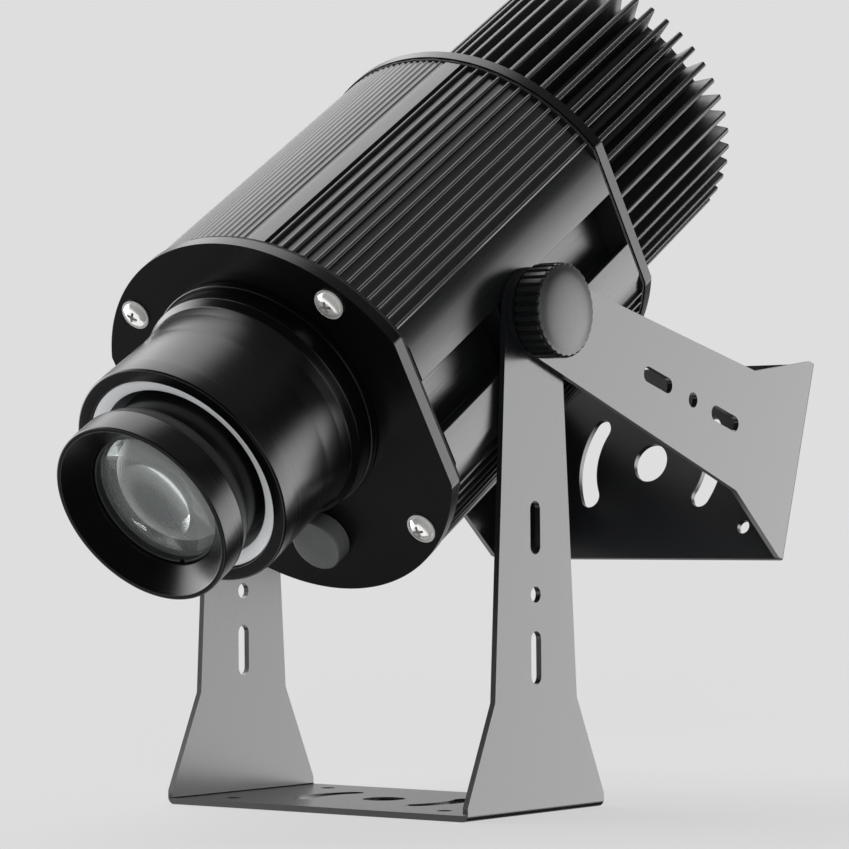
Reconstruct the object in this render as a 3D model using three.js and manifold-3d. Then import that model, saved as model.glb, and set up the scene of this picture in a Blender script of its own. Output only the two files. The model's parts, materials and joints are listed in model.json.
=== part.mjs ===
// Gobo projector: a ribbed spotlight head that tilts between two like U-shaped brackets.
// One bracket stands on the floor, the other swings behind the head as a carrying or safety bracket.
// Millimetres, +Z up. The beam leaves the head towards -Y and down.
import * as THREE from 'three';
import { mergeVertices } from 'three/addons/utils/BufferGeometryUtils.js';
import Module from 'manifold-3d';

const wasm = await Module();
wasm.setup();

// Shared values
const gap = 0.3;
const overrun = 2;
const weld = 1e-5;
const degree = Math.PI / 180;
const quarterTurn = Math.PI / 2;
const wideSteps = 34;
const innerSteps = 20;
const smallSteps = 16;
const screwSteps = 10;
// Steps for each curve of an extruded outline; three.js doubles them on arcs
const arcSteps = 9;
const armTopSteps = 5;
const slotSteps = 2;
const bendSteps = 1;

// Brackets: bent sheet, the same blank twice
const armClearance = 2.2;
const bracketDepth = 89;
const sheet = 2.5;
const bendRadius = 3;
const pivotHeight = 198;
const armKinkHeight = 45;
const armKinkWidth = 53.4;
const armTopWidth = 35.3;
const slotLength = 21;
const slotWidth = 6.5;
const lowSlotHeight = 61.5;
const armHoleHeight = 86.4;
const highSlotHeight = 112.8;
const armHoleRadius = 3.2;
const baseBoreRadius = 8.75;
const baseHoleRadius = 3;
const baseHoleInset = 22.9;
const baseHoleEdge = 14.5;
const arcSlotRadius = 34;
const arcSlotWidth = 9.5;
const arcSlotHalfAngle = 28 * degree;
const swingAngle = 72.7 * degree;

// Head: stations run along the beam from the pivot axis, positive to the front
const headTilt = 32.7 * degree;
const flatDepth = 6.5;
const housingFront = 71;
const housingRear = -74.8;
const housingWall = 3.5;
const ribHeight = 1.8;
const coarseRibWidth = 1.7;
const fineRibWidth = 1;
const ribTaper = 0.2;
const coarsePitch = 3.65 * degree;
const firstRibStep = 7.27 * degree;
const finePitch = 2.3 * degree;
const fineHalfCount = 6;
const smoothStrip = 7 * degree;
const gasket = 1.4;
const gasketInset = 0.4;
const plate = 5;
const plateChamfer = 0.6;

// Side channels that take the tee nuts
const channelOpening = 23;
const channelLip = 3;
const channelWidth = 31;
const channelDepth = 11;
const channelWall = 3;

// Screws at the four corners of both end plates
const screwInset = 8.58;
const screwAngle = 45.34 * degree;
const screwHeadRadius = 4.95;
const screwHeadHeight = 3;
const screwShankRadius = 2.2;
const screwLength = 18;
const screwPortRadius = 5.2;

// Optical axis above the head's own axis
const opticLift = 12;

// Heat sink
const finCount = 48;
const finClearance = 3.47;
const finThickness = 2;
const finTaper = 0.3;
const sinkLength = 101;
const sinkWall = 3.2;
const sinkWeb = 9;
const coverSeatRadius = 44;
const coverThickness = 2;
const coverLedge = 4;
const coverScrewInset = 2;
const coverScrewRadius = 1;
const coverScrewHead = 1.8;
const coverScrewHeadHeight = 1.2;
const coverScrewLength = 7;
const coverScrewCount = 3;
const glandHexRadius = 9;
const glandHexHeight = 3.5;
const glandDomeRadius = 6.5;
const glandDomeHeight = 5;
const glandBore = 3.2;
const glandSides = 6;

// Lens tube and its fastening through the front plate
const flangeRim = 1.2;
const flangeThickness = 3.4;
const spigotStep = 10.7;
const spigotWall = 3.6;
const spigotReach = 7;
const neckRadius = 50.3;
const neckLength = 8.5;
const neckStep = 3;
const waistReach = 16.5;
const mouthFlare = 0.7;
const mouthReach = 31;
const mouthRound = 1;
const tubeWall = 4.8;
const shoulderReach = 4.5;
const shoulderStep = 4.5;
const lockRingWall = 6.4;
const lockRingThickness = 4;

// Focus barrel, hood and objective lenses
const sleeveWall = 5.2;
const sleeveRecess = 1.5;
const guideStep = 3;
const barrelWall = 3.5;
const barrelSetback = 0.5;
const guideLength = 16;
const rearLensLipHeight = 3.5;
const rearLensEdge = 6;
const rearLensBulge = 4;
const lensRingThickness = 2.4;
const hoodGap = 8;
const hoodLength = 18.5;
const hoodStep = 5.3;
const hoodChamfer = 2.9;
const hoodChamferLength = 6.5;
const hoodRimWidth = 2.5;
const hoodEdge = 0.5;
const coneDepth = 8.5;
const apertureStep = 2;
const lensSeatDepth = 9;
const lensSeatWidth = 2.5;
const hoodSpigotLength = 6;
const frontLensEdge = 4;
const frontLensBulge = 7;
const retainerWidth = 3.4;
const retainerThickness = 3;
const retainerNotch = 2;
const lensRim = 4.2;
const capShares = [0, 0.35, 0.7, 1];

// Gobo rotator
const capClearance = 3.3;
const gearTeeth = 52;
const pinionTeeth = 14;
const pressureAngle = 20 * degree;
const backlash = 0.9;
const rootClearanceShare = 0.25;
const gearFace = 8;
const gearFlankShares = [0, 1];
const pinionFlankShares = [0, 0.55, 1];
const rotatorSetback = 14.5;
const rotatorPlateThickness = 3;
const rotatorPlateRim = 2;
const rotatorRoom = 6.3;
const hubWall = 3.1;
const hubLength = 9.5;
const holderRimInset = 0.5;
const goboInset = 6.2;
const goboCover = 5.9;
const goboThickness = 1.1;
const holderWeb = 1;
const holderLength = 4.2;
const clipWidth = 2;
const clipThickness = 1.1;
const clipMouth = 20 * degree;
const standoffRadius = 3.6;
const standoffInset = 5;
const standoffCount = 3;
const lobeRim = 2.5;
const motorRadius = 9.5;
const motorLength = 22.5;
const motorShaftRadius = 1.5;
const motorCapWall = 1.4;
const motorCapHeight = 8.3;

// Light engine
const spreaderRadius = 30;
const spreaderLength = 61.8;
const boardInset = 6.5;
const boardThickness = 1.6;
const emitterRadius = 9;
const emitterThickness = 1.2;
const holderTubeWall = 3.5;
const holderTubeLength = 46;
const holderLipHeight = 2.5;
const holderLipThickness = 6;
const condenserEdge = 3;
const condenserBulge = 8;
const clipRingWidth = 3.2;
const clipRingThickness = 1.6;

// Driver on the housing's inner rails
const driverWidth = 54;
const driverHeight = 22;
const driverRoom = 5.9;
const driverRearRoom = 6.8;
const driverInset = 16;
const railInner = 18;
const railWidth = 6;
const railOverhang = 7;
const driverFlange = 2;
const driverFoot = 6;

// Clamp knobs, studs and tee nuts
const knobRadius = 18.8;
const knobThickness = 13;
const knobFlutes = 30;
const fluteDepth = 0.9;
const fluteShares = [[0, 1], [0.45, 1], [0.72, 0]];
const knobDome = 1.6;
const knobEdge = 1.2;
const studRadius = 3.9;
const studBoreDepth = 8.7;
const washerRadius = 9;
const washerThickness = 0.8;
const nutLength = 30;
const nutNeckInset = 0.4;

// Values that follow: stations along the beam
const frontGasketRear = housingFront + gap;
const frontPlateRear = frontGasketRear + gasket + gap;
const frontFace = frontPlateRear + plate;
const rearGasketFront = housingRear - gap;
const rearPlateFront = rearGasketFront - gasket - gap;
const rearFace = rearPlateFront - plate;
const sinkFront = rearFace - gap;
const sinkRear = sinkFront - sinkLength;
const flangeRear = frontFace + gap;
const neckRear = flangeRear + flangeThickness + gap;
const neckFront = neckRear + neckLength;
const spigotRear = frontPlateRear - spigotReach;
const tubeShoulder = neckFront + shoulderReach;
const waistStation = neckFront + waistReach;
const mouthStation = waistStation + mouthReach;
const barrelRear = tubeShoulder + barrelSetback;
const hoodRear = mouthStation + hoodGap;
const barrelFront = hoodRear - gap;
const hoodShoulder = hoodRear + hoodChamferLength;
const hoodFront = hoodRear + hoodLength;
const apertureStation = hoodFront - coneDepth;
const lensSeatStation = apertureStation - lensSeatDepth;
const rotatorPlateRear = frontPlateRear - rotatorSetback;
const gearFront = rotatorPlateRear - gap - gap;
const gearRear = gearFront - gearFace;
const hubEnd = rotatorPlateRear - hubLength;
const holderFront = hubEnd - gap;
const holderRear = holderFront - holderLength;
const goboFront = holderFront - holderWeb - gap;
const motorRear = rotatorPlateRear + rotatorPlateThickness + gap;
const spreaderFront = rearFace + spreaderLength;
const lipRear = spreaderFront + holderTubeLength / 2;
const rearLensEdgeStation = lipRear - gap - condenserEdge;
const frontLensEdgeStation = lipRear + holderLipThickness + gap + condenserEdge;
const driverRear = housingRear + driverRearRoom + driverFoot;
const driverFront = gearRear - driverRoom - driverFoot;
const railFront = driverFront + driverFoot + railOverhang;

// Radii of the lens tube, the focus group and the light engine, from the neck inwards
const flangeRadius = neckRadius + flangeRim;
const spigotRadius = neckRadius - spigotStep;
const spigotBore = spigotRadius - spigotWall;
const lockRingRadius = spigotRadius + lockRingWall;
const waistRadius = neckRadius - neckStep;
const mouthRadius = waistRadius + mouthFlare;
const tubeBore = waistRadius - tubeWall;
const shoulderBore = tubeBore - shoulderStep;
const sleeveBore = tubeBore - gap - sleeveWall;
const barrelRadius = sleeveBore - guideStep;
const barrelBore = barrelRadius - barrelWall;
const rearLensLip = barrelBore - rearLensLipHeight;
const hoodRadius = barrelRadius + hoodStep;
const hoodRearRadius = hoodRadius - hoodChamfer;
const hoodRimRadius = hoodRadius - hoodRimWidth;
const apertureRadius = barrelBore - apertureStep;
const lensSeatBore = apertureRadius - lensSeatWidth;
const retainerBore = apertureRadius - gap - retainerWidth;
const holderTubeBore = spreaderRadius - holderTubeWall;
const holderLipBore = holderTubeBore - holderLipHeight;
const clipRingBore = holderTubeBore - gap - clipRingWidth;
const boardRadius = holderTubeBore - boardInset;

// The motor stands clear of the lens flange, which sets the gears and so the rotator's size
const motorCapRadius = motorRadius + gap + motorCapWall;
const motorOffset = flangeRadius + capClearance + motorCapRadius;
const gearModule = 2 * motorOffset / (gearTeeth + pinionTeeth);
const gearRadius = gearModule * gearTeeth / 2;
const gearTip = gearRadius + gearModule;
const gearRoot = gearRadius - gearModule * (1 + rootClearanceShare);
const motorDrop = opticLift - motorOffset;
const hubBore = spigotBore;
const hubRadius = hubBore + hubWall;
const holderRim = gearRoot - holderRimInset;
const goboRadius = hubRadius - goboInset;
const holderBore = goboRadius - goboCover;
const rotatorPlateRadius = gearTip + rotatorPlateRim;
const standoffCircle = rotatorPlateRadius - standoffInset;

// The body goes round the rotator, and the brackets go round the body
const insideRadius = opticLift + rotatorPlateRadius + rotatorRoom;
const rootRadius = insideRadius + housingWall;
const bodyRadius = rootRadius + ribHeight + gasketInset;
const flatOffset = bodyRadius - flatDepth;
const bracketWidth = 2 * (flatOffset + armClearance + sheet);
const baseHoleX = bracketWidth / 2 - baseHoleInset;
const baseHoleY = bracketDepth / 2 - baseHoleEdge;
const armStep = sheet + gap;
const headOffset = armStep / 2;
const studBore = studRadius + gap;
const driverLift = driverInset - bodyRadius;
const screwCircle = bodyRadius - screwInset;
const screwX = screwCircle * Math.cos(screwAngle);
const screwY = screwCircle * Math.sin(screwAngle);
const finTipRadius = screwCircle - screwHeadRadius - finClearance;
const finRootRadius = coverSeatRadius + gap + sinkWall;
const sinkBore = coverSeatRadius - coverLedge;
const coverScrewCircle = coverSeatRadius - coverScrewInset;
const coarseStart = Math.acos(flatOffset / rootRadius) + firstRibStep;
const fineStart = quarterTurn - (fineHalfCount - 1 / 2) * finePitch;
const coarseCount = 1 + Math.floor((fineStart - smoothStrip - coarseStart) / coarsePitch);

// Finishes
const blackAnodised = { color: 0x15161a, roughness: 0.42, metalness: 0.8 };
const blackPaint = { color: 0x2a2c30, roughness: 0.5, metalness: 0.4 };
const blackSatin = { color: 0x0c0c0e, roughness: 0.3, metalness: 0.5 };
const silverAnodised = { color: 0xd5dde0, roughness: 0.35, metalness: 0.9 };
const chrome = { color: 0xd8d8d8, roughness: 0.12, metalness: 1 };
const rubber = { color: 0x111111, roughness: 0.85, metalness: 0 };
const glass = { color: 0xdfe6e8, roughness: 0.05, metalness: 0 };
const plasticBlack = { color: 0x202124, roughness: 0.55, metalness: 0 };
const rawAluminium = { color: 0xb4b7ba, roughness: 0.45, metalness: 1 };
const acetal = { color: 0xe6e3da, roughness: 0.5, metalness: 0 };
const solderMask = { color: 0xe9e9e4, roughness: 0.5, metalness: 0 };
const phosphor = { color: 0xf0d65a, roughness: 0.4, metalness: 0 };

function toManifold(geometry) {
  const bare = geometry.clone();
  bare.deleteAttribute('normal');
  bare.deleteAttribute('uv');
  const merged = mergeVertices(bare, weld);
  const corners = merged.index.array;
  const kept = [];
  for (let i = 0; i < corners.length; i += 3) {
    const [a, b, c] = corners.slice(i, i + 3);
    if (a !== b && b !== c && c !== a) kept.push(a, b, c);
  }
  const vertProperties = new Float32Array(merged.attributes.position.array);
  const triVerts = new Uint32Array(kept);
  return new wasm.Manifold(new wasm.Mesh({ numProp: 3, vertProperties, triVerts }));
}

function toGeometry(solid) {
  const mesh = solid.getMesh();
  const geometry = new THREE.BufferGeometry();
  geometry.setAttribute('position', new THREE.BufferAttribute(mesh.vertProperties, 3));
  geometry.setIndex(new THREE.BufferAttribute(mesh.triVerts, 1));
  geometry.computeVertexNormals();
  return geometry;
}

// A closed profile of [radius, station] points, turned about the z axis
function turned(profile, steps = wideSteps) {
  const points = profile.map(([radius, station]) => new THREE.Vector2(radius, station));
  if (!points[0].equals(points.at(-1))) points.push(points[0].clone());
  if (THREE.ShapeUtils.area(points) < 0) points.reverse();
  return toManifold(new THREE.LatheGeometry(points, steps).rotateX(quarterTurn));
}

// A shape drawn in x and y, extruded along z between two stations
function prism(shape, from, to, curveSegments = arcSteps) {
  const options = { depth: to - from, bevelEnabled: false, curveSegments };
  return toManifold(new THREE.ExtrudeGeometry(shape, options).translate(0, 0, from));
}

function cylinder(radius, from, to, steps = smallSteps) {
  return turned([[0, from], [radius, from], [radius, to], [0, to]], steps);
}

function tube(bore, radius, from, to, steps = innerSteps) {
  return turned([[bore, from], [radius, from], [radius, to], [bore, to]], steps);
}

function block(low, high) {
  const size = high.map((value, axis) => value - low[axis]);
  const centre = high.map((value, axis) => (value + low[axis]) / 2);
  return toManifold(new THREE.BoxGeometry(...size).translate(...centre));
}

function joined(solids) {
  return solids.reduce((whole, solid) => whole.add(solid));
}

function cut(solid, tools) {
  return tools.reduce((left, tool) => left.subtract(tool), solid);
}

// Corners of the four end-plate screws, seen from the front
const screwPlaces = [[screwX, screwY], [-screwX, screwY], [-screwX, -screwY], [screwX, -screwY]];

// The body's outline: a circle with a flat on each side
function plateOutline(radius, offset) {
  const angle = Math.acos(offset / radius);
  const shape = new THREE.Shape();
  shape.absarc(0, 0, radius, angle, Math.PI - angle, false);
  shape.absarc(0, 0, radius, Math.PI + angle, 2 * Math.PI - angle, false);
  shape.closePath();
  return shape;
}

// Angles and widths of the ribs over the top, from the near side to the far side
function topRibs() {
  const quarter = [];
  for (let i = 0; i < coarseCount; i++) {
    quarter.push({ angle: coarseStart + i * coarsePitch, width: coarseRibWidth });
  }
  for (let i = fineHalfCount; i > 0; i--) {
    quarter.push({ angle: quarterTurn - (i - 1 / 2) * finePitch, width: fineRibWidth });
  }
  const mirrored = quarter.map(({ angle, width }) => ({ angle: Math.PI - angle, width }));
  return [...quarter, ...mirrored.reverse()];
}

// Four points of one tapered rib, pointing outwards at an angle
function ribPoints({ angle, width }) {
  const out = new THREE.Vector2(Math.cos(angle), Math.sin(angle));
  const along = new THREE.Vector2(-out.y, out.x);
  const half = width / 2;
  const tip = rootRadius + ribHeight;
  const foot = Math.sqrt(rootRadius ** 2 - half ** 2);
  const crest = half - ribTaper;
  const places = [[foot, -half], [tip, -crest], [tip, crest], [foot, half]];
  return places.map(([radius, side]) => out.clone().multiplyScalar(radius).addScaledVector(along, side));
}

function ribbedOutline() {
  const half = topRibs().flatMap(ribPoints);
  const cornerHeight = Math.sqrt(rootRadius ** 2 - flatOffset ** 2);
  const corners = [-cornerHeight, cornerHeight].map((height) => new THREE.Vector2(flatOffset, height));
  const top = [...corners, ...half];
  const bottom = top.map((point) => point.clone().negate());
  return new THREE.Shape([...top, ...bottom]);
}

function screwBores(from, to, radius) {
  return screwPlaces.map(([x, y]) => cylinder(radius, from, to, screwSteps).translate(x, y, 0));
}

function housing() {
  const rear = housingRear;
  const front = housingFront;
  const cutRear = rear - overrun;
  const cutFront = front + overrun;
  const insideFlat = flatOffset - housingWall;
  let inside = prism(plateOutline(insideRadius, insideFlat), cutRear, cutFront);
  const wellX = flatOffset - channelDepth - channelWall;
  const wellY = channelWidth / 2 + channelWall;
  const innerX = flatOffset - channelDepth;
  const lipX = flatOffset - channelLip;
  const channels = [];
  for (const side of [-1, 1]) {
    const well = block([wellX, -wellY, cutRear - overrun], [bodyRadius, wellY, cutFront + overrun]);
    const mouthLow = [lipX - gap, -channelOpening / 2, cutRear];
    const mouth = block(mouthLow, [bodyRadius, channelOpening / 2, cutFront]);
    const deep = block([innerX, -channelWidth / 2, cutRear], [lipX, channelWidth / 2, cutFront]);
    const turn = side > 0 ? 0 : 180;
    inside = inside.subtract(well.rotate(0, 0, turn));
    channels.push(joined([mouth, deep]).rotate(0, 0, turn));
  }
  const wallMiddle = insideRadius + housingWall / 2;
  const rails = [-1, 1].map((side) => {
    const low = Math.min(side * railInner, side * (railInner + railWidth));
    const foot = -Math.sqrt(wallMiddle ** 2 - (railInner + railWidth) ** 2);
    return block([low, foot - gap, rear], [low + railWidth, driverLift - gap, railFront]);
  });
  const ports = screwBores(rear, front, screwPortRadius);
  const shell = prism(ribbedOutline(), rear, front).subtract(inside);
  const body = joined([shell, ...rails, ...ports]);
  return cut(body, [...channels, ...screwBores(cutRear, cutFront, screwShankRadius + gap)]);
}

function endGasket(from, to) {
  const outline = plateOutline(bodyRadius - gasketInset, flatOffset - gasketInset);
  const bore = insideRadius - screwPortRadius;
  const band = channelDepth + channelWall;
  const opening = plateOutline(bore, flatOffset - band);
  const sheetBody = prism(outline, from, to);
  const window = prism(opening, from - overrun, to + overrun);
  return cut(sheetBody, [window, ...screwBores(from - overrun, to + overrun, screwShankRadius + gap)]);
}

// An end plate with both edges chamfered
function endPlate(from) {
  const bevel = { bevelThickness: plateChamfer, bevelSize: plateChamfer, bevelOffset: -plateChamfer };
  const options = { depth: plate - 2 * plateChamfer, bevelSegments: 1, curveSegments: arcSteps, ...bevel };
  const outline = plateOutline(bodyRadius, flatOffset);
  return toManifold(new THREE.ExtrudeGeometry(outline, options).translate(0, 0, from + plateChamfer));
}

function frontPlate() {
  const from = frontPlateRear - overrun;
  const to = frontFace + overrun;
  const lightBore = cylinder(spigotRadius + gap, from, to, wideSteps).translate(0, opticLift, 0);
  const motorBore = cylinder(motorRadius + gap, from, to).translate(0, motorDrop, 0);
  const bores = screwBores(from, to, screwShankRadius + gap);
  return cut(endPlate(frontPlateRear), [lightBore, motorBore, ...bores]);
}

function rearPlate() {
  const from = rearFace - overrun;
  const to = rearPlateFront + overrun;
  const bore = cylinder(spreaderRadius + gap, from, to, wideSteps).translate(0, opticLift, 0);
  return cut(endPlate(rearFace), [bore, ...screwBores(from, to, screwShankRadius + gap)]);
}

// A pan-head screw whose head rests on a face and whose shank points back into the body
function panScrew(headRadius, headHeight, shankRadius, length) {
  const dome = [0, 1, 2].map((step) => {
    const angle = quarterTurn * step / 2;
    const height = headHeight * (1 + 2 * Math.sin(angle)) / 3;
    return [headRadius * Math.cos(angle), height + gap];
  });
  const profile = [[0, -length], [shankRadius, -length], [shankRadius, gap], [headRadius, gap], ...dome];
  return turned(profile, screwSteps);
}

function finPoints(index) {
  const angle = 2 * Math.PI * index / finCount;
  const out = new THREE.Vector2(Math.cos(angle), Math.sin(angle));
  const along = new THREE.Vector2(-out.y, out.x);
  const half = finThickness / 2;
  const foot = Math.sqrt(finRootRadius ** 2 - half ** 2);
  const crest = half - finTaper;
  const places = [[foot, -half], [finTipRadius, -crest], [finTipRadius, crest], [foot, half]];
  return places.map(([radius, side]) => out.clone().multiplyScalar(radius).addScaledVector(along, side));
}

function coverScrewPlaces() {
  const places = [];
  for (let i = 0; i < coverScrewCount; i++) {
    const angle = quarterTurn + 2 * Math.PI * i / coverScrewCount;
    places.push([coverScrewCircle * Math.cos(angle), coverScrewCircle * Math.sin(angle)]);
  }
  return places;
}

function coverBores() {
  const to = sinkRear + coverScrewLength + overrun;
  const bore = cylinder(coverScrewRadius + gap, sinkRear - overrun, to, screwSteps);
  return coverScrewPlaces().map(([x, y]) => bore.translate(x, y, 0));
}

function heatSink() {
  const outline = new THREE.Shape(Array.from({ length: finCount }, (_, i) => finPoints(i)).flat());
  const coverSeat = sinkRear + coverThickness + gap;
  const pocket = turned([
    [0, sinkRear - overrun], [coverSeatRadius + gap, sinkRear - overrun],
    [coverSeatRadius + gap, coverSeat], [sinkBore, coverSeat],
    [sinkBore, sinkFront - sinkWeb], [0, sinkFront - sinkWeb],
  ]);
  return cut(prism(outline, sinkRear, sinkFront), [pocket, ...coverBores()]);
}

function sinkCover() {
  const from = sinkRear;
  const to = sinkRear + coverThickness;
  return cut(tube(glandBore, coverSeatRadius, from, to), coverBores());
}

function cableGland() {
  const seat = sinkRear - gap;
  const hexEnd = seat - glandHexHeight;
  const domeEnd = hexEnd - glandDomeHeight;
  const hex = tube(glandBore, glandHexRadius, hexEnd, seat, glandSides);
  const neckEnd = hexEnd - glandDomeHeight / 2;
  const dome = turned([
    [glandBore, hexEnd + gap], [glandDomeRadius, hexEnd + gap], [glandDomeRadius, neckEnd],
    [glandDomeRadius - glandBore / 2, domeEnd], [glandBore, domeEnd],
  ], screwSteps);
  return joined([hex, dome]);
}

function lensFlange() {
  return tube(spigotRadius + gap, flangeRadius, flangeRear, flangeRear + flangeThickness, wideSteps);
}

function lensTube() {
  const shoulder = neckStep / 2;
  return turned([
    [spigotBore, spigotRear], [spigotRadius, spigotRear], [spigotRadius, neckRear],
    [neckRadius, neckRear], [neckRadius, neckFront - shoulder], [neckRadius - shoulder, neckFront],
    [mouthRadius, neckFront + shoulder], [waistRadius + shoulder / 4, neckFront + 4 * shoulder],
    [waistRadius, waistStation], [mouthRadius, mouthStation - mouthRound],
    [mouthRadius - mouthRound, mouthStation], [tubeBore, mouthStation],
    [tubeBore, tubeShoulder], [shoulderBore, tubeShoulder],
    [shoulderBore, neckRear], [spigotBore, neckRear - flangeThickness],
  ]);
}

function lockRing() {
  const front = frontPlateRear - gap;
  return tube(spigotRadius + gap, lockRingRadius, front - lockRingThickness, front, wideSteps);
}

function focusSleeve() {
  return tube(sleeveBore, tubeBore - gap, tubeShoulder + gap, mouthStation - sleeveRecess, wideSteps);
}

function focusBarrel() {
  const guide = sleeveBore - gap;
  const lensLip = barrelRear + lensRingThickness + rearLensEdge + 3 * gap;
  return turned([
    [barrelBore, barrelRear], [guide, barrelRear], [guide, barrelRear + guideLength],
    [barrelRadius, barrelRear + guideLength], [barrelRadius, barrelFront],
    [barrelBore, barrelFront], [barrelBore, lensLip + lensRingThickness],
    [rearLensLip, lensLip + lensRingThickness], [rearLensLip, lensLip], [barrelBore, lensLip],
  ]);
}

// A lens of two caps inside a flat rim, on an edge band; a bulge of zero leaves that face flat
function lens(radius, from, to, rearBulge, frontBulge) {
  const clearRadius = radius - lensRim;
  const capPoints = (bulge, station) =>
    capShares.map((share) => [clearRadius * share, station + bulge * (1 - share ** 2)]);
  const rearCap = rearBulge ? capPoints(-rearBulge, from) : [[0, from]];
  const frontCap = frontBulge ? capPoints(frontBulge, to).reverse() : [[0, to]];
  return turned([...rearCap, [radius, from], [radius, to], ...frontCap], innerSteps);
}

function rearObjectiveLens() {
  const from = barrelRear + lensRingThickness + 2 * gap;
  return lens(barrelBore - gap, from, from + rearLensEdge, rearLensBulge, rearLensBulge / 2);
}

function rearLensRing() {
  return tube(rearLensLip, barrelBore - gap, barrelRear + gap, barrelRear + gap + lensRingThickness);
}

function lensHood() {
  const spigotEnd = hoodRear - hoodSpigotLength;
  return turned([
    [lensSeatBore, spigotEnd], [barrelBore - gap, spigotEnd], [barrelBore - gap, hoodRear],
    [hoodRearRadius, hoodRear], [hoodRadius, hoodShoulder], [hoodRadius, hoodFront - hoodEdge],
    [hoodRadius - hoodEdge, hoodFront], [hoodRimRadius, hoodFront],
    [apertureRadius, apertureStation], [apertureRadius, lensSeatStation],
    [lensSeatBore, lensSeatStation],
  ]);
}

function frontObjectiveLens() {
  const from = lensSeatStation + gap;
  return lens(apertureRadius - gap, from, from + frontLensEdge, frontLensBulge, frontLensBulge);
}

function lensRetainingRing() {
  const from = lensSeatStation + frontLensEdge + 2 * gap;
  const to = from + retainerThickness;
  const ring = tube(retainerBore, apertureRadius - gap, from, to);
  const half = retainerNotch / 2;
  const low = [-half, -apertureRadius - overrun, to - retainerThickness / 2];
  const high = [half, -(retainerBore + apertureRadius) / 2, to + overrun];
  const notch = block(low, high);
  return cut(ring, [notch, notch.rotate(0, 0, 180)]);
}

// An involute gear outline, thinned by the backlash
function gearOutline(teeth, stations) {
  const pitch = gearModule * teeth / 2;
  const base = pitch * Math.cos(pressureAngle);
  const tip = pitch + gearModule;
  const root = pitch - gearModule * (1 + rootClearanceShare);
  const involute = (radius) => {
    const slope = Math.sqrt(Math.max((radius / base) ** 2 - 1, 0));
    return slope - Math.atan(slope);
  };
  const toothAngle = (Math.PI * gearModule / 2 - backlash) / pitch;
  const halfAngle = (radius) => toothAngle / 2 + involute(pitch) - involute(Math.max(radius, base));
  const polar = (radius, angle) => new THREE.Vector2(radius * Math.cos(angle), radius * Math.sin(angle));
  const radii = stations.map((share) => root + (tip - root) * share);
  const points = [];
  for (let i = 0; i < teeth; i++) {
    const middle = 2 * Math.PI * i / teeth;
    points.push(...radii.map((radius) => polar(radius, middle - halfAngle(radius))));
    points.push(...radii.toReversed().map((radius) => polar(radius, middle + halfAngle(radius))));
  }
  return new THREE.Shape(points);
}

function goboGear() {
  const teeth = prism(gearOutline(gearTeeth, gearFlankShares), gearRear, gearFront);
  const bore = cylinder(hubRadius + gap, holderFront, gearFront + overrun, wideSteps);
  const seat = holderFront - holderWeb;
  const holder = turned([
    [holderBore, holderFront], [hubRadius + gap, holderFront], [hubRadius + gap, gearRear + overrun],
    [holderRim, gearRear + overrun], [holderRim, holderRear], [goboRadius + gap, holderRear],
    [goboRadius + gap, seat], [holderBore, seat],
  ]);
  return joined([teeth.subtract(bore), holder]);
}

function goboDisc() {
  return cylinder(goboRadius, goboFront - goboThickness, goboFront, innerSteps);
}

function goboClip() {
  const to = goboFront - goboThickness - gap;
  const ring = tube(goboRadius - clipWidth, goboRadius, to - clipThickness, to);
  const reach = goboRadius * Math.tan(clipMouth / 2);
  const mouthHigh = [reach, goboRadius + overrun, to + overrun];
  const mouth = block([-reach, 0, to - clipThickness - overrun], mouthHigh);
  return ring.subtract(mouth);
}

function rotatorPlate() {
  const from = rotatorPlateRear;
  const to = from + rotatorPlateThickness;
  const disc = cylinder(rotatorPlateRadius, from, to, innerSteps);
  const lobeReach = motorRadius + lobeRim;
  const motorY = -motorOffset;
  const lobe = block([-lobeReach, motorY - lobeReach, from], [lobeReach, 0, to]);
  const hub = tube(hubBore, hubRadius, hubEnd, from + gap, wideSteps);
  const posts = [];
  for (let i = 0; i < standoffCount; i++) {
    const angle = quarterTurn + 2 * Math.PI * i / standoffCount;
    const place = [standoffCircle * Math.cos(angle), standoffCircle * Math.sin(angle), 0];
    posts.push(cylinder(standoffRadius, to - gap, frontPlateRear - gap, screwSteps).translate(...place));
  }
  const light = cylinder(hubBore, hubEnd - overrun, to + overrun, wideSteps);
  const shaft = cylinder(motorShaftRadius + 2 * gap, from - overrun, to + overrun, screwSteps);
  const body = joined([disc, lobe, hub, ...posts]);
  return cut(body, [light, shaft.translate(0, motorY, 0)]).translate(0, opticLift, 0);
}

function rotatorMotor() {
  return cylinder(motorRadius, motorRear, motorRear + motorLength).translate(0, motorDrop, 0);
}

function motorShaft() {
  const rear = gearRear - gap;
  return cylinder(motorShaftRadius, rear, motorRear - gap, screwSteps).translate(0, motorDrop, 0);
}

function motorPinion() {
  const outline = gearOutline(pinionTeeth, pinionFlankShares);
  const bore = cylinder(motorShaftRadius + gap, gearRear - overrun, gearFront + overrun, screwSteps);
  const blank = prism(outline, gearRear, gearFront).subtract(bore);
  return blank.rotate(0, 0, pinionTurn()).translate(0, motorDrop, 0);
}

// The pinion shows a gap where the gear, straight below its centre, shows a tooth
function pinionTurn() {
  const gearTooth = (gearTeeth * 3 / 4) % 1;
  const pinionTooth = (pinionTeeth / 4) % 1;
  const wanted = (1 / 2 - gearTooth) % 1;
  return 360 / pinionTeeth * (pinionTooth - wanted);
}

function motorCap() {
  const from = frontFace + gap;
  const to = from + motorCapHeight;
  const top = motorRear + motorLength + gap;
  const profile = [
    [motorRadius + gap, from], [motorCapRadius, from], [motorCapRadius, to - plateChamfer],
    [motorCapRadius - plateChamfer, to], [0, to], [0, top], [motorRadius + gap, top],
  ];
  return turned(profile, smallSteps).translate(0, motorDrop, 0);
}

function heatSpreader() {
  return cylinder(spreaderRadius, rearFace, spreaderFront, innerSteps);
}

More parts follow.
